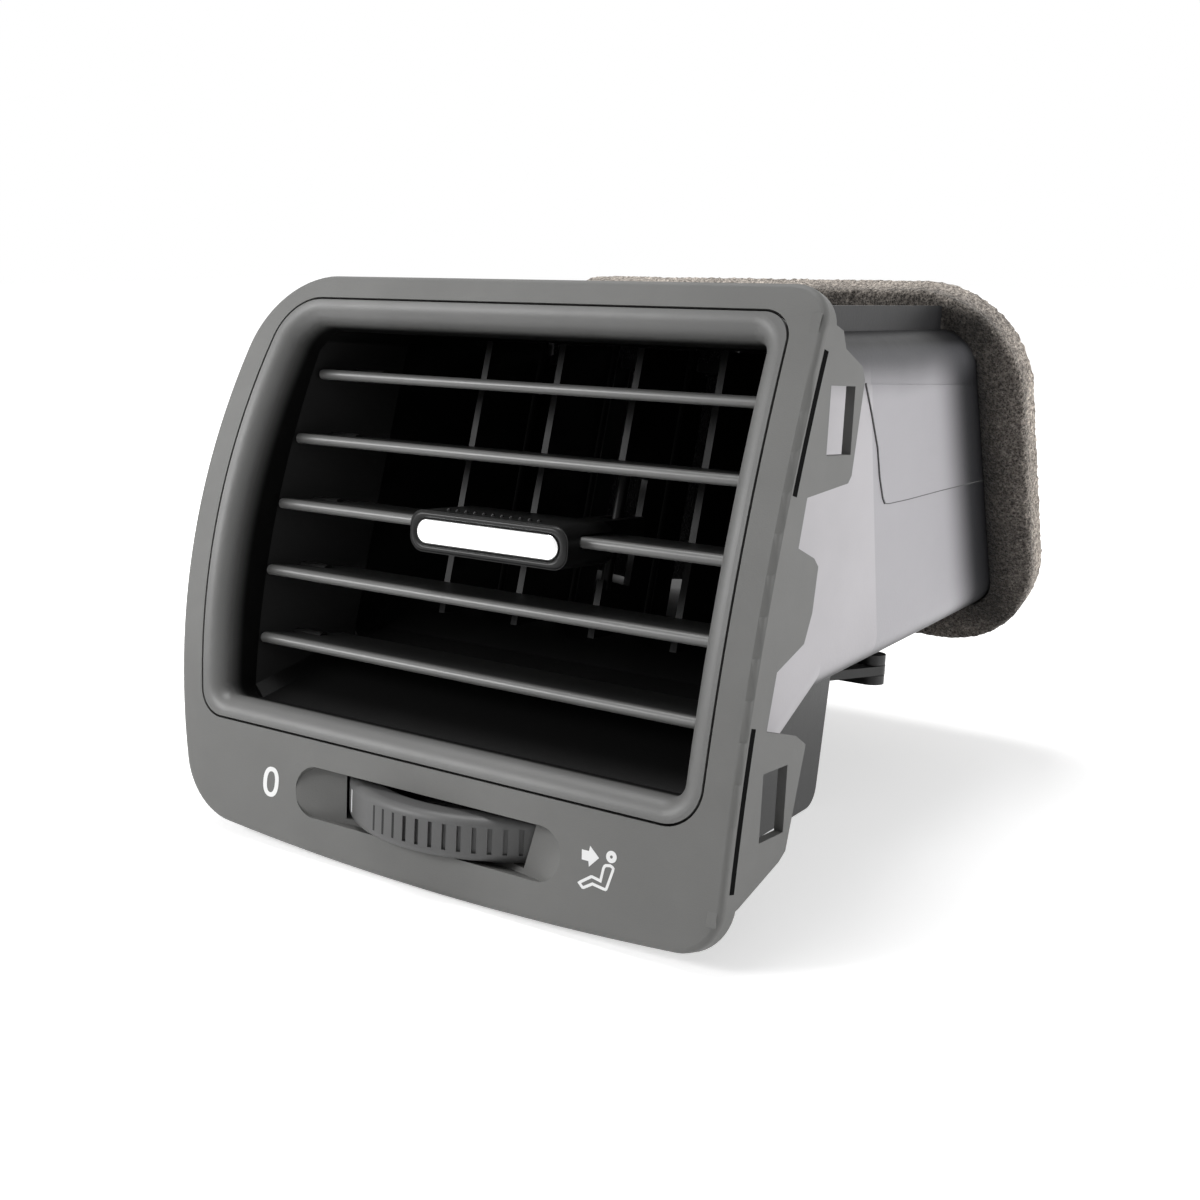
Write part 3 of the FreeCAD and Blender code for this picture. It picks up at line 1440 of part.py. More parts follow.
for obj in doc.Objects:
    if "Invalid" in obj.State or "Error" in obj.State:
        raise RuntimeError("%s failed: %s" % (obj.Label, obj.State))
os.makedirs("parts", exist_ok=True)
for piece, place in pieces:
    shape = piece.Shape
    if shape.isNull() or not shape.isValid() or len(shape.Solids) < 1:
        raise RuntimeError("%s has no valid solid" % piece.Label)
for piece, place in pieces:
    piece.Shape.exportStep("parts/%s.step" % piece.Label)
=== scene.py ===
import json
import math

import bmesh
import bpy
from mathutils import Matrix, Vector, noise


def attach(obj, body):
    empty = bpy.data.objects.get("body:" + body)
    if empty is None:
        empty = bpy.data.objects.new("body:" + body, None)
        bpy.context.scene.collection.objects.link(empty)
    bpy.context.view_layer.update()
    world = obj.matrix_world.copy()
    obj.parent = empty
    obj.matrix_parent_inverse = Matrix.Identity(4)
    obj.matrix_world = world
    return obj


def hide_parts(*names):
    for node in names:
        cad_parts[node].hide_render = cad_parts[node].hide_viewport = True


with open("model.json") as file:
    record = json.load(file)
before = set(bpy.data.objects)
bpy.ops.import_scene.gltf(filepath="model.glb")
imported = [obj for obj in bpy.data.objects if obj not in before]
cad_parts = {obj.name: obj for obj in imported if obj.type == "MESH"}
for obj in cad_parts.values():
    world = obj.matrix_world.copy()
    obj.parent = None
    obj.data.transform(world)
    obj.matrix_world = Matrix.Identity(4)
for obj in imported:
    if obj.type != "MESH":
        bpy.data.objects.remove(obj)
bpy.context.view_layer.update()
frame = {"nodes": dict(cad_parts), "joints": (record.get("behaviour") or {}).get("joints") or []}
nodes = frame["nodes"]

# Places: the housing frame's millimetres, and the face's x, u and depth, in the row frame
LEAN = math.radians(13)
TIP = math.radians(5.2)
SLAT_3_PIVOT = (31.084, 68.459)

# The face's crown: an arc over its height, with its middle at CROWN_LEVEL
CROWN_CHORD = 124
CROWN_HIGH = 5
CROWN_RADIUS = (CROWN_CHORD ** 2 / 4 + CROWN_HIGH ** 2) / (2 * CROWN_HIGH)
CROWN_LEVEL = 61.5


def turned(x, y, z):
    """A way in the housing frame's millimetres, tipped back, in metres."""
    return Vector((x, y * math.cos(TIP) + z * math.sin(TIP), z * math.cos(TIP) - y * math.sin(TIP))) * 0.001


joint = [j for j in frame["joints"] if j["name"] == "slat_3_tilt"][0]
SHIFT = Vector(joint["pos_m"]) - turned(0, *SLAT_3_PIVOT)


def housing(x, y, z):
    """A place of the housing frame in the row frame."""
    return turned(x, y, z) + SHIFT


def crown(u):
    """The curved face's depth at u, counted from the face's flat plane: 0 at its ends."""
    return CROWN_RADIUS - CROWN_HIGH - math.sqrt(CROWN_RADIUS ** 2 - (u - CROWN_LEVEL) ** 2)


def on_face(x, u, depth):
    """A place u up the leaning face and a depth behind its curved surface."""
    behind = crown(u) + depth
    y = u * math.sin(LEAN) + behind * math.cos(LEAN)
    z = u * math.cos(LEAN) - behind * math.sin(LEAN)
    return housing(x, y, z)


# Ways behind the leaning face and up along it
DEPTH_WAY = turned(0, math.cos(LEAN), -math.sin(LEAN)) * 1000
RISE_WAY = turned(0, math.sin(LEAN), math.cos(LEAN)) * 1000

# The duct's outlet: a point on its leaning plane, and the ways behind it and up along it
OUTLET = (131, 78.4)
OUTLET_LEAN = math.radians(22.8)
OUTLET_WAY = turned(0, math.cos(OUTLET_LEAN), math.sin(OUTLET_LEAN)) * 1000
OUTLET_RISE = turned(0, -math.sin(OUTLET_LEAN), math.cos(OUTLET_LEAN)) * 1000
OUTLET_POINT = turned(0, *OUTLET) * 1000

# The duct: its middle, half width and right side, and its opening's middle and half height
DUCT_MIDDLE, DUCT_HALF, DUCT_RIGHT = 6.7, 59, 65.7
OPENING_LEVEL, OPENING_HALF = 3.5, 36.5

# Lines that rise along the duct: a height, the y where they have it, and a slope
DUCT_FLOOR = (39.5, 51, 0.09)
DUCT_ROOF = (112.2, 60, 0.057)
DUCT_AXIS = (76.26, 60, 0.0735)


# Materials

def add_node(tree, kind, **values):
    made = tree.nodes.new(kind)
    for name, value in values.items():
        setattr(made, name, value)
    return made


class Shader:
    """A small helper that adds nodes and links them."""

    def __init__(self, name):
        self.material = bpy.data.materials.new(name)
        self.material.use_nodes = True
        self.tree = self.material.node_tree
        self.tree.nodes.clear()
        self.surface = self.node("ShaderNodeBsdfPrincipled")
        output = self.node("ShaderNodeOutputMaterial")
        self.link(self.surface.outputs[0], output.inputs["Surface"])
        self.place = self.node("ShaderNodeTexCoord").outputs["Object"]

    def node(self, kind, **values):
        return add_node(self.tree, kind, **values)

    def link(self, start, end):
        self.tree.links.new(start, end)

    def math(self, operation, *terms):
        made = self.node("ShaderNodeMath", operation=operation)
        for socket, term in zip(made.inputs, terms):
            if isinstance(term, (int, float)):
                socket.default_value = term
            else:
                self.link(term, socket)
        return made.outputs[0]

    def along(self, way):
        """Millimetres from the housing's origin along a way."""
        dot = self.node("ShaderNodeVectorMath", operation="DOT_PRODUCT")
        self.link(self.place, dot.inputs[0])
        dot.inputs[1].default_value = way * 1000
        return self.math("SUBTRACT", dot.outputs["Value"], SHIFT.dot(way) * 1000)

    def aside(self):
        """Millimetres to either side of the duct's middle."""
        return self.math("ABSOLUTE", self.math("SUBTRACT", self.along(Vector((1, 0, 0))), DUCT_MIDDLE))

    def behind_outlet(self):
        """Millimetres behind the outlet's plane."""
        return self.math("SUBTRACT", self.along(OUTLET_WAY), OUTLET_POINT.dot(OUTLET_WAY))

    def depth(self):
        """Millimetres behind the curved face."""
        rise = self.math("SUBTRACT", self.along(RISE_WAY), CROWN_LEVEL)
        sag = self.math("MULTIPLY", self.math("MULTIPLY", rise, rise), 0.5 / CROWN_RADIUS)
        return self.math("SUBTRACT", self.math("ADD", self.along(DEPTH_WAY), CROWN_HIGH), sag)

    def span(self, value, low, high):
        """0 at low, 1 at high, smooth between."""
        made = self.node("ShaderNodeMapRange", interpolation_type="SMOOTHSTEP")
        made.inputs["From Min"].default_value = low
        made.inputs["From Max"].default_value = high
        self.link(value, made.inputs["Value"])
        return made.outputs["Result"]

    def between(self, factor, low, high):
        """Low where the factor is 0, high where it is 1."""
        made = self.node("ShaderNodeMapRange")
        made.inputs["To Min"].default_value = low
        made.inputs["To Max"].default_value = high
        self.link(factor, made.inputs["Value"])
        return made.outputs["Result"]

    def mix(self, factor, first, second):
        made = self.node("ShaderNodeMix", data_type="RGBA")
        self.link(factor, made.inputs["Factor"])
        for name, term in (("A", first), ("B", second)):
            if isinstance(term, tuple):
                made.inputs[name].default_value = term + (1,)
            else:
                self.link(term, made.inputs[name])
        return made.outputs["Result"]

    def multiply(self, first, second):
        made = self.node("ShaderNodeMix", data_type="RGBA", blend_type="MULTIPLY")
        made.inputs["Factor"].default_value = 1
        self.link(first, made.inputs["A"])
        self.link(second, made.inputs["B"])
        return made.outputs["Result"]

    def noise(self, scale, detail=2.0, rough=0.5, stretch=None):
        made = self.node("ShaderNodeTexNoise")
        made.inputs["Scale"].default_value = scale
        made.inputs["Detail"].default_value = detail
        made.inputs["Roughness"].default_value = rough
        place = self.place
        if stretch:
            mapping = self.node("ShaderNodeMapping")
            mapping.inputs["Scale"].default_value = stretch
            self.link(place, mapping.inputs["Vector"])
            place = mapping.outputs["Vector"]
        self.link(place, made.inputs["Vector"])
        return made.outputs["Fac"]

    def cells(self, scale):
        made = self.node("ShaderNodeTexVoronoi")
        made.inputs["Scale"].default_value = scale
        self.link(self.place, made.inputs["Vector"])
        return made.outputs["Distance"]

    def ramp(self, factor, stops):
        made = self.node("ShaderNodeValToRGB")
        ends = made.color_ramp.elements
        while len(ends) < len(stops):
            ends.new(0.5)
        for end, (at, colour) in zip(ends, stops):
            end.position = at
            end.color = tuple(colour) + (1,)
        self.link(factor, made.inputs["Fac"])
        return made.outputs["Color"]

    def base(self, colour):
        self.link(colour, self.surface.inputs["Base Color"])

    def roughness(self, factor, low, high):
        self.link(self.between(factor, low, high), self.surface.inputs["Roughness"])

    def bump(self, height, strength, distance, under=None):
        made = self.node("ShaderNodeBump")
        made.inputs["Strength"].default_value = strength
        made.inputs["Distance"].default_value = distance
        self.link(height, made.inputs["Height"])
        if under is not None:
            self.link(under, made.inputs["Normal"])
        self.link(made.outputs["Normal"], self.surface.inputs["Normal"])
        return made.outputs["Normal"]

    def set(self, name, value):
        self.surface.inputs[name].default_value = value


def moulded(name, dark, light, rough, grain, depth, specular=0.5, tint=(1, 1, 1)):
    """Moulded plastic: a cloudy tone, spark-eroded grain, and a roughness that varies a little."""
    made = Shader(name)
    stops = [(0.3, [dark * t for t in tint]), (0.7, [light * t for t in tint])]
    made.tone = made.ramp(made.noise(34, 3, 0.55), stops)
    made.base(made.tone)
    made.roughness(made.noise(160, 4, 0.6), *rough)
    coarse = made.bump(made.noise(grain * 0.35, 2, 0.5), 0.35, depth)
    made.bump(made.noise(grain, 3, 0.6), 0.7, depth, coarse)
    made.set("Specular IOR Level", specular)
    return made


RING_SPECULAR = 0.45
face_plastic = moulded("face_plastic", 0.12, 0.14, (0.5, 0.62), 3600, 0.00005, 0.34, (1, 1, 0.97))
ring_plastic = moulded("ring_plastic", 0.1, 0.12, (0.4, 0.5), 3600, 0.00004, RING_SPECULAR, (1, 1, 0.98))
slat_plastic = moulded("slat_plastic", 0.012, 0.017, (0.3, 0.38), 4200, 0.00003)
vane_plastic = moulded("vane_plastic", 0.006, 0.009, (0.34, 0.44), 4200, 0.00003, 0.1)
link_plastic = moulded("link_plastic", 0.01, 0.015, (0.36, 0.46), 3000, 0.00003, 0.25)
knob_plastic = moulded("knob_plastic", 0.008, 0.012, (0.26, 0.36), 4200, 0.00002, 0.2)
wheel_plastic = moulded("wheel_plastic", 0.06, 0.08, (0.42, 0.54), 3600, 0.00004, 0.45)
housing_plastic = moulded("housing_plastic", 0.009, 0.014, (0.3, 0.42), 2600, 0.00004)
duct_plastic = moulded("duct_plastic", 0.42, 0.47, (0.34, 0.46), 1500, 0.00005, 0.25, (0.99, 0.96, 1))
# A black for painted shade: inside the duct, behind the ring's groove and in the wheel's grip lines
painted_shade_black = moulded("painted_shade_black", 0.006, 0.01, (0.4, 0.5), 1500, 0.00005, 0.2)
# A black for the painted shade along the rim
groove_shade_black = moulded("groove_shade_black", 0.002, 0.004, (0.8, 0.9), 1500, 0.00003, 0.03)
seam_plastic = moulded("seam_plastic", 0.07, 0.1, (0.5, 0.6), 1500, 0.00003, 0.3)
print_white = moulded("print_white", 0.74, 0.8, (0.45, 0.55), 5200, 0.00001, 0.4)
rubber = moulded("rubber", 0.014, 0.022, (0.7, 0.85), 2600, 0.00006, 0.3)

# The ring is grey in front, and its sleeve is painted near-black behind the rounding, with its specular cut
# there: painted shade inside the vent
behind = ring_plastic.span(ring_plastic.depth(), 3.2, 7.5)
ring_plastic.base(ring_plastic.mix(behind, ring_plastic.tone, (0.005, 0.005, 0.005)))
ring_plastic.link(ring_plastic.between(behind, RING_SPECULAR, 0.08),
                  ring_plastic.surface.inputs["Specular IOR Level"])

# The slats' front edges are painted a satin grey: a painted highlight
painted_highlight_mask = slat_plastic.span(slat_plastic.depth(), 10.9, 13.2)
slat_plastic.base(slat_plastic.mix(painted_highlight_mask, (0.11, 0.11, 0.108), slat_plastic.tone))

# Painted light and shade on the duct's one plastic: the flat sides are painted pale, a painted reflection,
# and a little darker behind a step; the roof and floor are painted dark; painted shade darkens the sides
# near the shoulders and near the foam
roof_way = turned(0, -DUCT_ROOF[2], 1) * 1000
step_way = turned(0, 1, 0.24) * 1000
painted_light_sides = duct_plastic.span(duct_plastic.aside(), DUCT_HALF - 2.6, DUCT_HALF - 0.3)
painted_shade_near_foam = duct_plastic.span(duct_plastic.behind_outlet(), -25, -6)
cloud = duct_plastic.math("MULTIPLY", duct_plastic.noise(26, 2, 0.5), 7)
painted_shade_shoulder = duct_plastic.span(duct_plastic.math("ADD", duct_plastic.along(roof_way), cloud), 98.5, 108.5)
step = duct_plastic.span(duct_plastic.along(step_way), 86.8, 87.2)
tone_with_painted_shade = duct_plastic.mix(step, duct_plastic.tone, (0.37, 0.36, 0.38))
tone_with_painted_shade = duct_plastic.mix(painted_shade_near_foam, tone_with_painted_shade, (0.02, 0.02, 0.022))
tone_with_painted_shade = duct_plastic.mix(painted_shade_shoulder, tone_with_painted_shade, (0.07, 0.07, 0.075))
duct_plastic.base(duct_plastic.mix(painted_light_sides, (0.012, 0.012, 0.013), tone_with_painted_shade))

# Brushed chrome on the knob's trim
chrome = Shader("chrome")
chrome.base(chrome.ramp(chrome.noise(60, 2), [(0.3, (0.93, 0.93, 0.93)), (0.7, (0.97, 0.97, 0.97))]))
chrome.set("Metallic", 1.0)
chrome.roughness(chrome.noise(900, 3, 0.6, (0.05, 1, 1)), 0.1, 0.2)
chrome.bump(chrome.noise(1400, 2, 0.5, (0.04, 1, 1)), 0.2, 0.00001)


def foam_material(name, dark, light, pores):
    """Open-cell foam: dark pores in a brown-grey skeleton, pale struts and soft patches, with painted light
    and shade.
    """
    made = Shader(name)
    cells = made.cells(pores)
    speck = made.noise(pores * 0.7, 4, 0.75)
    middle = [a * 0.55 + b * 0.45 for a, b in zip(dark, light)]
    body = made.ramp(speck, [(0.36, dark), (0.54, middle), (0.7, light)])
    tone = made.mix(made.span(cells, 0.12, 0.4), tuple(d * 0.5 for d in dark), body)
    patch = made.ramp(made.noise(90, 3, 0.6), [(0.3, (0.7, 0.7, 0.7)), (0.7, (1, 1, 1))])

    # Painted light and shade: the face is darkest near the duct, lighter toward its outer edge, and the
    # side lighter still
    opening = OUTLET_POINT.dot(OUTLET_RISE) + OPENING_LEVEL
    above = made.math("ABSOLUTE", made.math("SUBTRACT", made.along(OUTLET_RISE), opening))
    outward = made.math("MAXIMUM", made.math("SUBTRACT", made.aside(), DUCT_HALF),
                        made.math("SUBTRACT", above, OPENING_HALF))
    edge = made.math("MULTIPLY", made.span(outward, 0, 11), 0.5)
    side = made.math("MULTIPLY", made.span(made.behind_outlet(), 0.2, 6), 0.75)
    painted_light_and_shade = made.math("ADD", made.math("ADD", edge, side), 0.17)

    made.base(made.multiply(made.multiply(tone, patch), painted_light_and_shade))
    made.roughness(speck, 0.85, 1.0)
    made.bump(speck, 0.9, 0.0003, made.bump(cells, 0.8, 0.0004))
    made.set("Sheen Weight", 0.2)
    made.set("Sheen Roughness", 0.6)
    made.set("Specular IOR Level", 0.15)
    return made


gasket_foam = foam_material("gasket_foam", (0.07, 0.058, 0.048), (0.86, 0.77, 0.68), 1900)
seal_foam = foam_material("seal_foam", (0.006, 0.006, 0.006), (0.03, 0.03, 0.03), 2200)


def dress(name, shader):
    node = nodes[name]
    node.data.materials.clear()
    node.data.materials.append(shader.material)


for name, shader in {
    "bezel": face_plastic, "inner_frame": ring_plastic, "vane_carrier": vane_plastic,
    "air_duct": duct_plastic, "foam_gasket": gasket_foam, "wheel_housing": housing_plastic,
    "slat_link": link_plastic, "vane_link": link_plastic, "knob_body": knob_plastic,
    "knob_trim": chrome, "knob_damper": rubber, "thumbwheel": wheel_plastic,
    "wheel_link": link_plastic, "flap_tie": link_plastic,
}.items():
    dress(name, shader)
for number in range(1, 6):
    dress("slat_%d" % number, slat_plastic)
for number in range(1, 5):
    dress("vane_%d" % number, vane_plastic)
for side in ("left", "right"):
    dress("flap_" + side, vane_plastic)
    dress("flap_seal_" + side, seal_foam)
    dress("flap_crank_" + side, link_plastic)


# Small meshes

def new_piece(name, mesh, body, shader, smooth=True):
    made = bpy.data.meshes.new(name)
    bmesh.ops.recalc_face_normals(mesh, faces=mesh.faces)
    mesh.to_mesh(made)
    mesh.free()
    piece = bpy.data.objects.new(name, made)
    bpy.context.scene.collection.objects.link(piece)
    made.materials.append(shader.material)
    if smooth:
        made.polygons.foreach_set("use_smooth", [True] * len(made.polygons))
    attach(piece, body)
    return piece


def prism(mesh, outline, place, low, high):
    """A closed prism of an outline of (a, b) points; place(a, b, depth) gives the corners."""
    bottom = [mesh.verts.new(place(a, b, low)) for a, b in outline]
    top = [mesh.verts.new(place(a, b, high)) for a, b in outline]
    count = len(outline)
    mesh.faces.new(bottom)
    mesh.faces.new(list(reversed(top)))
    for n in range(count):
        mesh.faces.new((bottom[n], top[n], top[(n + 1) % count], bottom[(n + 1) % count]))


def close_rows(mesh, rows):
    """Faces between closed rows of corners, and between the last row and the first."""
    count = len(rows[0])
    for row, after in zip(rows, rows[1:] + rows[:1]):
        for n in range(count):
            m = (n + 1) % count
            mesh.faces.new((row[n], row[m], after[m], after[n]))


def ring(mesh, outer, inner, place, low, high):
    """A closed ring between two outlines with the same number of points."""
    rows = [[mesh.verts.new(place(a, b, depth)) for a, b in loop]
            for loop, depth in ((outer, low), (outer, high), (inner, high), (inner, low))]
    close_rows(mesh, rows)


def box(low_a, high_a, low_b, high_b):
    return [(low_a, low_b), (high_a, low_b), (high_a, high_b), (low_a, high_b)]


def oval(centre_x, centre_u, half_x, half_u, squareness=1, count=40):
    points = []
    for n in range(count):
        angle = 2 * math.pi * n / count
        c, s = math.cos(angle), math.sin(angle)
        points.append((centre_x + half_x * math.copysign(abs(c) ** squareness, c),
                       centre_u + half_u * math.copysign(abs(s) ** squareness, s)))
    return points


def rounded(left, right, low, high, radius, count):
    """A rounded rectangle's points, in even steps from the middle of its right side."""
    straight_x, straight_z = right - left - 2 * radius, high - low - 2 * radius
    bend = math.pi * radius / 2
    total = 2 * straight_x + 2 * straight_z + 4 * bend
    # Length, the start of a straight or the centre of a bend, start angle, and whether it bends
    legs = [
        (straight_z / 2, (right, (low + high) / 2), 90, False),
        (bend, (right - radius, high - radius), 0, True),
        (straight_x, (right - radius, high), 180, False),
        (bend, (left + radius, high - radius), 90, True),
        (straight_z, (left, high - radius), 270, False),
        (bend, (left + radius, low + radius), 180, True),
        (straight_x, (left + radius, low), 0, False),
        (bend, (right - radius, low + radius), 270, True),
        (straight_z / 2, (right, low + radius), 90, False),
    ]
    points = []
    for n in range(count):
        want = total * n / count
        for length, (x, z), angle, bends in legs:
            if want <= length:
                break
            want -= length
        turn = math.radians(angle) + (want / radius if bends else 0)
        reach = radius if bends else want
        points.append((x + reach * math.cos(turn), z + reach * math.sin(turn)))
    return points


# Keeps a sharp corner from reaching far inward
SHARP_LIMIT = 0.3


def inset(outline, width):
    """The outline moved inward by a width, corner by corner."""
    made = []
    count = len(outline)
    for n in range(count):
        here = Vector(outline[n])
        to_here = (here - Vector(outline[n - 1])).normalized()
        onward = (Vector(outline[(n + 1) % count]) - here).normalized()
        inward = Vector((to_here.y, -to_here.x)) + Vector((onward.y, -onward.x))
        made.append(tuple(here + inward * (width / max(inward.length_squared / 2, SHARP_LIMIT))))
    return made


# The printed figures on the face: a nought, and an arrow blowing on a seated figure
PRINT_BACK, PRINT_FRONT = 0.02, -0.03

nought = bmesh.new()
ring(nought, oval(-38.6, 11.35, 2.3, 3.2, 0.86, 56), oval(-38.6, 11.35, 1.2, 2.25, 0.86, 56),
     on_face, PRINT_BACK, PRINT_FRONT)
new_piece("nought_print", nought, "housing", print_white, smooth=False)

arrow = [
    (42.64, 14.5), (44.25, 14.5), (44.4, 15.5), (46.6, 13.7), (44.6, 11.65), (44.35, 12.65), (42.85, 12.65),
]
seat = [
    (42.4, 8.25), (43.0, 8.75), (45.2, 10.2), (45.6, 10.25), (47.2, 9.95), (47.55, 12.2), (47.8, 12.7),
    (48.15, 12.95), (49.2, 13.15), (49.9, 12.9), (50.2, 12.6), (50.17, 12.1), (49.35, 9.1), (49.1, 8.3),
    (48.8, 8.05), (48.3, 8.05), (45.8, 8.4), (43.95, 7.3), (43.5, 7.3),
]
figure = bmesh.new()
prism(figure, arrow, on_face, PRINT_BACK, PRINT_FRONT)
ring(figure, oval(49.25, 14.5, 1.16, 1.12), oval(49.25, 14.5, 0.32, 0.3), on_face, PRINT_BACK, PRINT_FRONT)
ring(figure, seat, inset(seat, 0.55), on_face, PRINT_BACK, PRINT_FRONT)
new_piece("airflow_print", figure, "housing", print_white, smooth=False)

# A dark lip on the ring, behind the groove between it and the face: a black strip of painted shade in the
# groove
ring_outline = [
    (58.7, 22.8), (30, 22.8), (0, 22.8), (-30, 22.8), (-55.6, 22.8), (-58.5, 23.4), (-60.9, 25.1),
    (-62.3, 27.7), (-62.9, 30.7), (-63.9, 36.6), (-64.7, 42.6), (-65.3, 48.6), (-65.8, 54.6),
    (-66.1, 60.6), (-66.2, 66.6), (-66.1, 72.6), (-65.9, 78.6), (-65.4, 84.6), (-64.8, 90.6),
    (-64, 96.6), (-63, 102.5), (-61.9, 108.4), (-59, 113.7), (-54, 116.8), (-48, 117.3), (-24, 117.3),
    (0.1, 117.3), (30.2, 117.3), (60.3, 117.3), (65.3, 114.6), (66.2, 108.8), (66.2, 84.7),
    (66.2, 60.6), (66.2, 36.6), (66.2, 30.6), (65.4, 27.6), (64.1, 25.1), (61.7, 23.4),
]
LIP_FRONT, LIP_BACK = 3.0, 3.8
lip_shade = bmesh.new()
ring(lip_shade, inset(ring_outline, -1.0), inset(ring_outline, 0.4), on_face, LIP_FRONT, LIP_BACK)
new_piece("ring_lip_shade", lip_shade, "housing", painted_shade_black, smooth=False)

# Painted shade along the rim's right side, in front of the tabs: black strips that stand for the shade in
# grooves
RIM_SIDE = 73.35
GROOVE_FRONT, GROOVE_BACK = 1.7, 3.4
GROOVE_STEPS = 10


def on_rim(u, depth, x):
    return on_face(x, u, depth)


grooves = bmesh.new()
for low, high in ((13, 42.5), (84, 111)):
    rises = [low + (high - low) * n / GROOVE_STEPS for n in range(GROOVE_STEPS + 1)]
    outline = [(u, GROOVE_FRONT) for u in rises] + [(u, GROOVE_BACK) for u in reversed(rises)]
    prism(grooves, outline, on_rim, RIM_SIDE - 0.05, RIM_SIDE + 0.03)
new_piece("rim_groove_shade", grooves, "housing", groove_shade_black, smooth=False)

# The thumbwheel's index line, on the rim's smooth field
WHEEL = (3.4, 30.176, 11.2)
WHEEL_RADIUS = 34
MARK_BACK, MARK_FRONT = 0.05, -0.03


def on_wheel(angle, level, depth):
    """A place on the rim: an angle in degrees, a height, and a depth below its surface."""
    reach = WHEEL_RADIUS - depth
    turn = math.radians(angle)
    return housing(WHEEL[0] + reach * math.sin(turn), WHEEL[1] - reach * math.cos(turn), WHEEL[2] + level)


index_line = bmesh.new()
prism(index_line, box(-37.7, -36.2, -2.4, 2.4), on_wheel, MARK_BACK, MARK_FRONT)
new_piece("index_line", index_line, "wheel", print_white, smooth=False)

# Shallow black grip lines, painted shade of grooves, that carry the solid's grooves on, up to the line's
# field and beyond it
GRIP_PITCH = 5.2
GRIP_HALF_ANGLE, GRIP_HALF_HEIGHT = 0.5, 2.6
grip_shade = bmesh.new()
for n in [1, 2, 3] + list(range(9, 23)):
    middle = -GRIP_PITCH * n
    outline = box(middle - GRIP_HALF_ANGLE, middle + GRIP_HALF_ANGLE, -GRIP_HALF_HEIGHT, GRIP_HALF_HEIGHT)
    prism(grip_shade, outline, on_wheel, MARK_BACK, MARK_FRONT)
new_piece("wheel_grip_shade", grip_shade, "wheel", painted_shade_black, smooth=False)

# The knob's pivot, how far in front of it its flat front is, and how far below it its middle is
KNOB = (4.5, 31.084, 68.459)
KNOB_REACH = 13.7
KNOB_DROP = 1.1


def on_knob(a, level, proud):
    """A place on the knob's front, from its middle."""
    return housing(KNOB[0] + a, KNOB[1] - KNOB_REACH - proud, KNOB[2] - KNOB_DROP + level)


# A rounded bead round the knob's chrome trim
BEAD_STEPS = 10
BEAD_PROUD = 0.52
BEAD_ROOT = -0.3
outer = rounded(-20.15, 20.15, -4.25, 4.25, 3.25, 180)
inner = rounded(-18.37, 18.37, -2.77, 2.77, 2.76, 180)
bead = bmesh.new()
rows = [[bead.verts.new(on_knob(a, level, BEAD_ROOT)) for a, level in outer]]
for step in range(BEAD_STEPS + 1):
    t = step / BEAD_STEPS
    proud = BEAD_PROUD * math.sin(math.pi * t) ** 0.7 - 0.02
    rows.append([bead.verts.new(on_knob(a + (c - a) * t, b + (d - b) * t, proud))
                 for (a, b), (c, d) in zip(outer, inner)])
rows.append([bead.verts.new(on_knob(a, level, BEAD_ROOT)) for a, level in inner])
close_rows(bead, rows)
new_piece("knob_bead", bead, "knob", knob_plastic)

# Grip dots along the knob's top front edge
DOT_RADIUS = 0.00048
DOT_START, DOT_PITCH, DOT_REACH, DOT_RISE = -13, 2.35, 10.2, 3.3
dots = bmesh.new()
for n in range(11):
    centre = housing(KNOB[0] + DOT_START + DOT_PITCH * n, KNOB[1] - DOT_REACH, KNOB[2] + DOT_RISE)
    bmesh.ops.create_uvsphere(dots, u_segments=12, v_segments=6, radius=DOT_RADIUS,
                              matrix=Matrix.Translation(centre))
new_piece("knob_dots", dots, "knob", knob_plastic)

# The duct's inside faces are painted black: painted shade inside the duct
duct = nodes["air_duct"].data
duct.materials.append(painted_shade_black.material)
level, start, slope = DUCT_AXIS
for face in duct.polygons:
    centre = face.center - SHIFT
    y = (centre.y * math.cos(TIP) - centre.z * math.sin(TIP)) * 1000
    axis = turned(DUCT_MIDDLE, y, level + slope * (y - start))
    if face.normal.dot(centre - axis) < 0:
        face.material_index = 1


# A raised panel and its seam on the duct's right side

def on_side(y, z, out):
    return housing(DUCT_RIGHT + out, y, z)


def panel_end(z):
    """A corner of the panel just in front of the outlet's plane."""
    return OUTLET[0] - (z - OUTLET[1]) * math.tan(OUTLET_LEAN) - 0.4, z


PANEL_BACK, PANEL_FRONT = -0.05, 0.25
SEAM_BACK, SEAM_FRONT = -0.02, 0.27
SEAM_WIDE = 0.22
panel_edge = [
    (59.6, 102.2), (63.6, 96.1), (67.7, 89.3), (69.9, 83.1), (72.2, 78.8), (73.5, 77.5), (75.6, 77.4),
    (85.0, 77.8), (104.0, 79.0), panel_end(80.4),
]
panel = bmesh.new()
prism(panel, panel_edge + [panel_end(103)], on_side, PANEL_BACK, PANEL_FRONT)
new_piece("duct_panel", panel, "housing", duct_plastic, smooth=False)
seam = bmesh.new()
seam_edge = [(y + SEAM_WIDE, z + SEAM_WIDE) for y, z in panel_edge]
prism(seam, panel_edge + seam_edge[::-1], on_side, SEAM_BACK, SEAM_FRONT)
new_piece("duct_seam", seam, "housing", seam_plastic, smooth=False)


# The foam gasket round the duct's end

def at_outlet(x, rise, behind):
    """A place behind the outlet's plane, and up along it."""
    c, s = math.cos(OUTLET_LEAN), math.sin(OUTLET_LEAN)
    return housing(x, OUTLET[0] + behind * c - rise * s, OUTLET[1] + behind * s + rise * c)


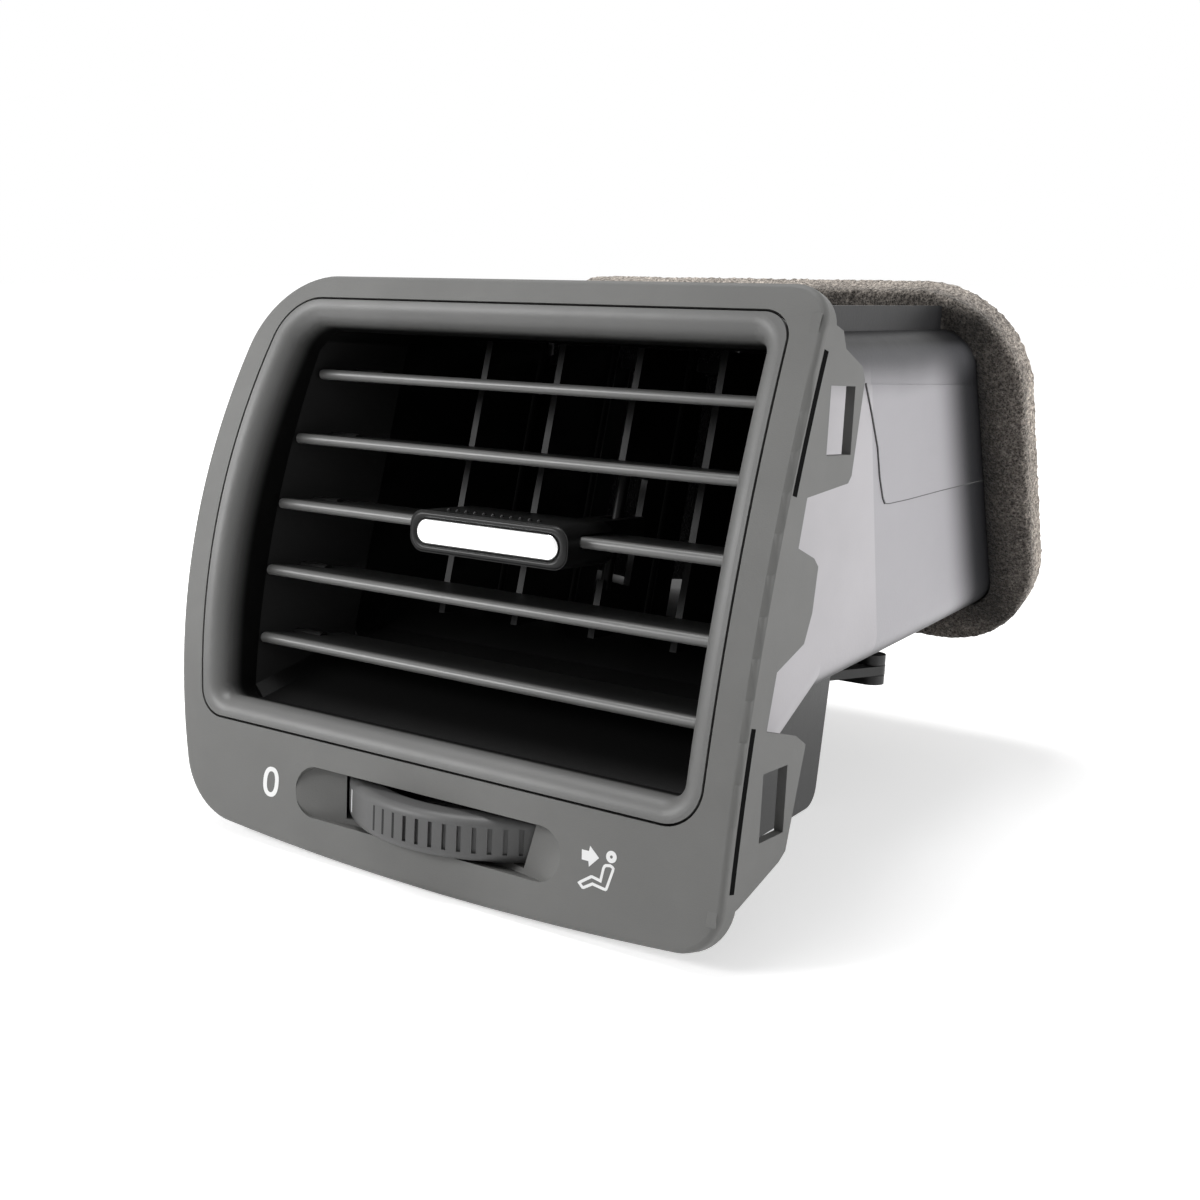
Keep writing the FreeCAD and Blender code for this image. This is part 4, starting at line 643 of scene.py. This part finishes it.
def trunk_rise(behind, level, start, slope):
    """How far up the outlet's plane a rising line of the duct passes."""
    c, s = math.cos(OUTLET_LEAN), math.sin(OUTLET_LEAN)
    height = level + (OUTLET[0] + behind * c - start) * slope - OUTLET[1] - behind * s
    return height / (c + slope * s)


FUZZ_GRAIN = 900


def fuzz(place, size):
    """How far the foam's skin sinks at a place, from 0 to size."""
    rough = noise.noise(place * FUZZ_GRAIN) * 0.6 + noise.noise(place * FUZZ_GRAIN * 2.3) * 0.4
    return size * min(1, max(0, 0.5 + rough))


FOAM_LEFT, FOAM_RIGHT, FOAM_LOW, FOAM_HIGH = -63.4, 76.8, -44.5, 49
FOAM_CORNER = 25
FOAM_THICK = 9
FOAM_EDGE = 1.2
FOAM_SINK = 0.55
FOAM_SKIN = 0.02
DUCT_CORNER = 7.4
DUCT_CLEAR = 0.12
AROUND = 760


def gasket_profile():
    """The section's points: how far inward, how far behind, and on which skin."""
    turns = [math.radians(15 * n) for n in range(7)]
    quarter = [(1 - math.sin(turn), 1 - math.cos(turn)) for turn in turns]
    points = [(8.4 - n * 0.72, FOAM_SKIN, "face") for n in range(10)]
    points += [(FOAM_EDGE * a, FOAM_EDGE * b, "face") for a, b in quarter]
    points += [(FOAM_SKIN, FOAM_EDGE + n * 0.66, "side") for n in range(1, 10)]
    points += [(FOAM_EDGE * b, FOAM_THICK - FOAM_EDGE * a, "side") for a, b in quarter]
    points += [(FOAM_EDGE + n * 1.2, FOAM_THICK - FOAM_SKIN, "rear") for n in range(1, 7)]
    return points


def gasket_skin(x, rise, behind, part):
    """The place of a point of the outer skin, sunk in by the foam's fuzz."""
    sink = fuzz(at_outlet(x, rise, behind), FOAM_SINK)
    toward_x, toward_rise = DUCT_MIDDLE - x, -rise
    reach = math.hypot(toward_x, toward_rise)
    if part == "rear":
        return at_outlet(x, rise, behind - sink)
    if part == "side":
        return at_outlet(x + toward_x / reach * sink, rise + toward_rise / reach * sink, behind)
    slip = sink * 0.4
    return at_outlet(x + toward_x / reach * slip, rise + toward_rise / reach * slip, behind + sink)


gasket = bmesh.new()
rows = []
for inward, behind, part in gasket_profile():
    loop = rounded(FOAM_LEFT + inward, FOAM_RIGHT - inward, FOAM_LOW + inward, FOAM_HIGH - inward,
                   FOAM_CORNER - inward, AROUND)
    rows.append([gasket.verts.new(gasket_skin(x, rise, behind, part)) for x, rise in loop])
for behind in (FOAM_THICK - 0.6, 0.6):
    low = trunk_rise(behind, *DUCT_FLOOR) - DUCT_CLEAR
    high = trunk_rise(behind, *DUCT_ROOF) + DUCT_CLEAR
    loop = rounded(DUCT_MIDDLE - DUCT_HALF - DUCT_CLEAR, DUCT_RIGHT + DUCT_CLEAR, low, high,
                   DUCT_CORNER, AROUND)
    rows.append([gasket.verts.new(at_outlet(x, rise, behind)) for x, rise in loop])
close_rows(gasket, rows)
foam_piece = new_piece("gasket_foam_ring", gasket, "housing", gasket_foam)
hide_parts("foam_gasket")

# The flaps' seals: soft sheets on the blades' fronts, each with a groove for the shaft
FLAP_Y = 114
REACH = 27.9
SHEET_LOW, SHEET_LOW_SLOPE = 47.77, 0.1045
SHEET_HIGH, SHEET_HIGH_SLOPE = 112.68, -0.0715
SHEET_BACK, SHEET_FRONT = 0.95, 3.22
SHEET_CORNER = 2.2
SHEET_SINK = 0.3
SHEET_EDGE, SHEET_DROP = 0.9, 0.7
SHAFT_GROOVE = 2.62
ACROSS, UP = 60, 64


def sheet_grid(sheet, flap_x, front):
    """The corners of a sheet's front or back, in columns."""
    grid = []
    for i in range(ACROSS + 1):
        across = -REACH + 2 * REACH * i / ACROSS
        clip = max(0, abs(across) - REACH + SHEET_CORNER)
        low = SHEET_LOW + abs(across) * SHEET_LOW_SLOPE + clip
        high = SHEET_HIGH + abs(across) * SHEET_HIGH_SLOPE - clip
        column = []
        for j in range(UP + 1):
            z = low + (high - low) * j / UP
            if front:
                edge = min(REACH - abs(across), z - low, high - z)
                y = SHEET_FRONT - fuzz(housing(flap_x + across, FLAP_Y, z), SHEET_SINK)
                y -= SHEET_DROP * max(0, 1 - edge / SHEET_EDGE) ** 2
            else:
                y = max(SHEET_BACK, math.sqrt(max(0, SHAFT_GROOVE ** 2 - across ** 2)))
            column.append(sheet.verts.new(housing(flap_x + across, FLAP_Y - y, z)))
        grid.append(column)
    return grid


border = [(i, 0) for i in range(ACROSS)] + [(ACROSS, j) for j in range(UP)]
border += [(i, UP) for i in range(ACROSS, 0, -1)] + [(0, j) for j in range(UP, 0, -1)]
for side, flap_x in (("left", -21.8), ("right", 35.2)):
    sheet = bmesh.new()
    grids = [sheet_grid(sheet, flap_x, front) for front in (True, False)]
    for grid in grids:
        for i in range(ACROSS):
            for j in range(UP):
                sheet.faces.new((grid[i][j], grid[i + 1][j], grid[i + 1][j + 1], grid[i][j + 1]))
    for (i, j), (k, m) in zip(border, border[1:] + border[:1]):
        sheet.faces.new((grids[0][i][j], grids[0][k][m], grids[1][k][m], grids[1][i][j]))
    seal = new_piece("seal_foam_" + side, sheet, "flap_" + side, seal_foam)
    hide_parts("flap_seal_" + side)


# The stage: a white floor and world, for the camera and for what is mirrored

def whiteness(tree):
    """1 for the rays that show the white background."""
    path = add_node(tree, "ShaderNodeLightPath")
    total = path.outputs["Is Camera Ray"]
    for name in ("Is Glossy Ray", "Is Transmission Ray"):
        either = add_node(tree, "ShaderNodeMath", operation="MAXIMUM")
        tree.links.new(total, either.inputs[0])
        tree.links.new(path.outputs[name], either.inputs[1])
        total = either.outputs[0]
    return total


bpy.ops.mesh.primitive_plane_add(size=8, location=(0, 0, -0.0002))
floor = bpy.context.object
floor.name = "floor"
floor_white = bpy.data.materials.new("floor_white")
floor_white.use_nodes = True
tree = floor_white.node_tree
tree.nodes.clear()
output = add_node(tree, "ShaderNodeOutputMaterial")
diffuse = add_node(tree, "ShaderNodeBsdfDiffuse")
diffuse.inputs["Color"].default_value = (0.9, 0.9, 0.9, 1)

# The glow grows with the distance from the vent, in metres, so that its shadow stays
glow = add_node(tree, "ShaderNodeEmission")
far = add_node(tree, "ShaderNodeVectorMath", operation="LENGTH")
tree.links.new(add_node(tree, "ShaderNodeTexCoord").outputs["Object"], far.inputs[0])
grow = add_node(tree, "ShaderNodeMapRange")
for name, value in (("From Min", 0.12), ("From Max", 0.4), ("To Min", 0.5), ("To Max", 1.0)):
    grow.inputs[name].default_value = value
tree.links.new(far.outputs["Value"], grow.inputs["Value"])
lift = add_node(tree, "ShaderNodeMath", operation="MULTIPLY")
tree.links.new(whiteness(tree), lift.inputs[0])
tree.links.new(grow.outputs["Result"], lift.inputs[1])
tree.links.new(lift.outputs[0], glow.inputs["Strength"])
both = add_node(tree, "ShaderNodeAddShader")
tree.links.new(diffuse.outputs[0], both.inputs[0])
tree.links.new(glow.outputs[0], both.inputs[1])
tree.links.new(both.outputs[0], output.inputs["Surface"])
floor.data.materials.append(floor_white)

world = bpy.data.worlds.new("studio")
bpy.context.scene.world = world
world.use_nodes = True
tree = world.node_tree
tree.nodes.clear()
output = add_node(tree, "ShaderNodeOutputWorld")
mix = add_node(tree, "ShaderNodeMixShader")
tree.links.new(whiteness(tree), mix.inputs["Fac"])
for strength, socket in ((0.28, mix.inputs[1]), (1.0, mix.inputs[2])):
    background = add_node(tree, "ShaderNodeBackground")
    background.inputs["Color"].default_value = (1, 1, 1, 1)
    background.inputs["Strength"].default_value = strength
    tree.links.new(background.outputs[0], socket)
tree.links.new(mix.outputs[0], output.inputs["Surface"])

LIT_POINT = Vector((0, 0, 0.06))


def softbox(name, location, size, energy):
    data = bpy.data.lights.new(name, "AREA")
    data.shape = "RECTANGLE"
    data.size, data.size_y = size
    data.energy = energy
    lamp = bpy.data.objects.new(name, data)
    bpy.context.scene.collection.objects.link(lamp)
    lamp.location = location
    lamp.rotation_mode = "QUATERNION"
    lamp.rotation_quaternion = (LIT_POINT - Vector(location)).to_track_quat("-Z", "Y")


softbox("top_box", (-0.2, -0.06, 0.9), (0.45, 0.45), 5.0)
softbox("left_box", (-0.3, -0.38, 0.24), (0.2, 0.14), 1.5)
softbox("rear_box", (0.8, 0.25, 0.16), (0.5, 0.3), 3.9)

# The camera
CAMERA_RISE = math.radians(13.384)
CAMERA_TURN = math.radians(34)
CAMERA_PLACE = Vector((0.1958, -0.213605, 0.124004))
flat = math.cos(CAMERA_RISE)
look = Vector((-math.sin(CAMERA_TURN) * flat, math.cos(CAMERA_TURN) * flat, -math.sin(CAMERA_RISE)))
camera = bpy.data.cameras.new("camera")
camera.sensor_width = 36
camera.lens = 45.77
camera.shift_x = -0.0125
camera.shift_y = 0.00417
camera.clip_start = 0.01
camera_object = bpy.data.objects.new("camera", camera)
bpy.context.scene.collection.objects.link(camera_object)
camera_object.location = SHIFT + CAMERA_PLACE
camera_object.rotation_mode = "QUATERNION"
camera_object.rotation_quaternion = look.to_track_quat("-Z", "Y")
bpy.context.scene.camera = camera_object

bpy.context.scene.view_settings.view_transform = "Standard"
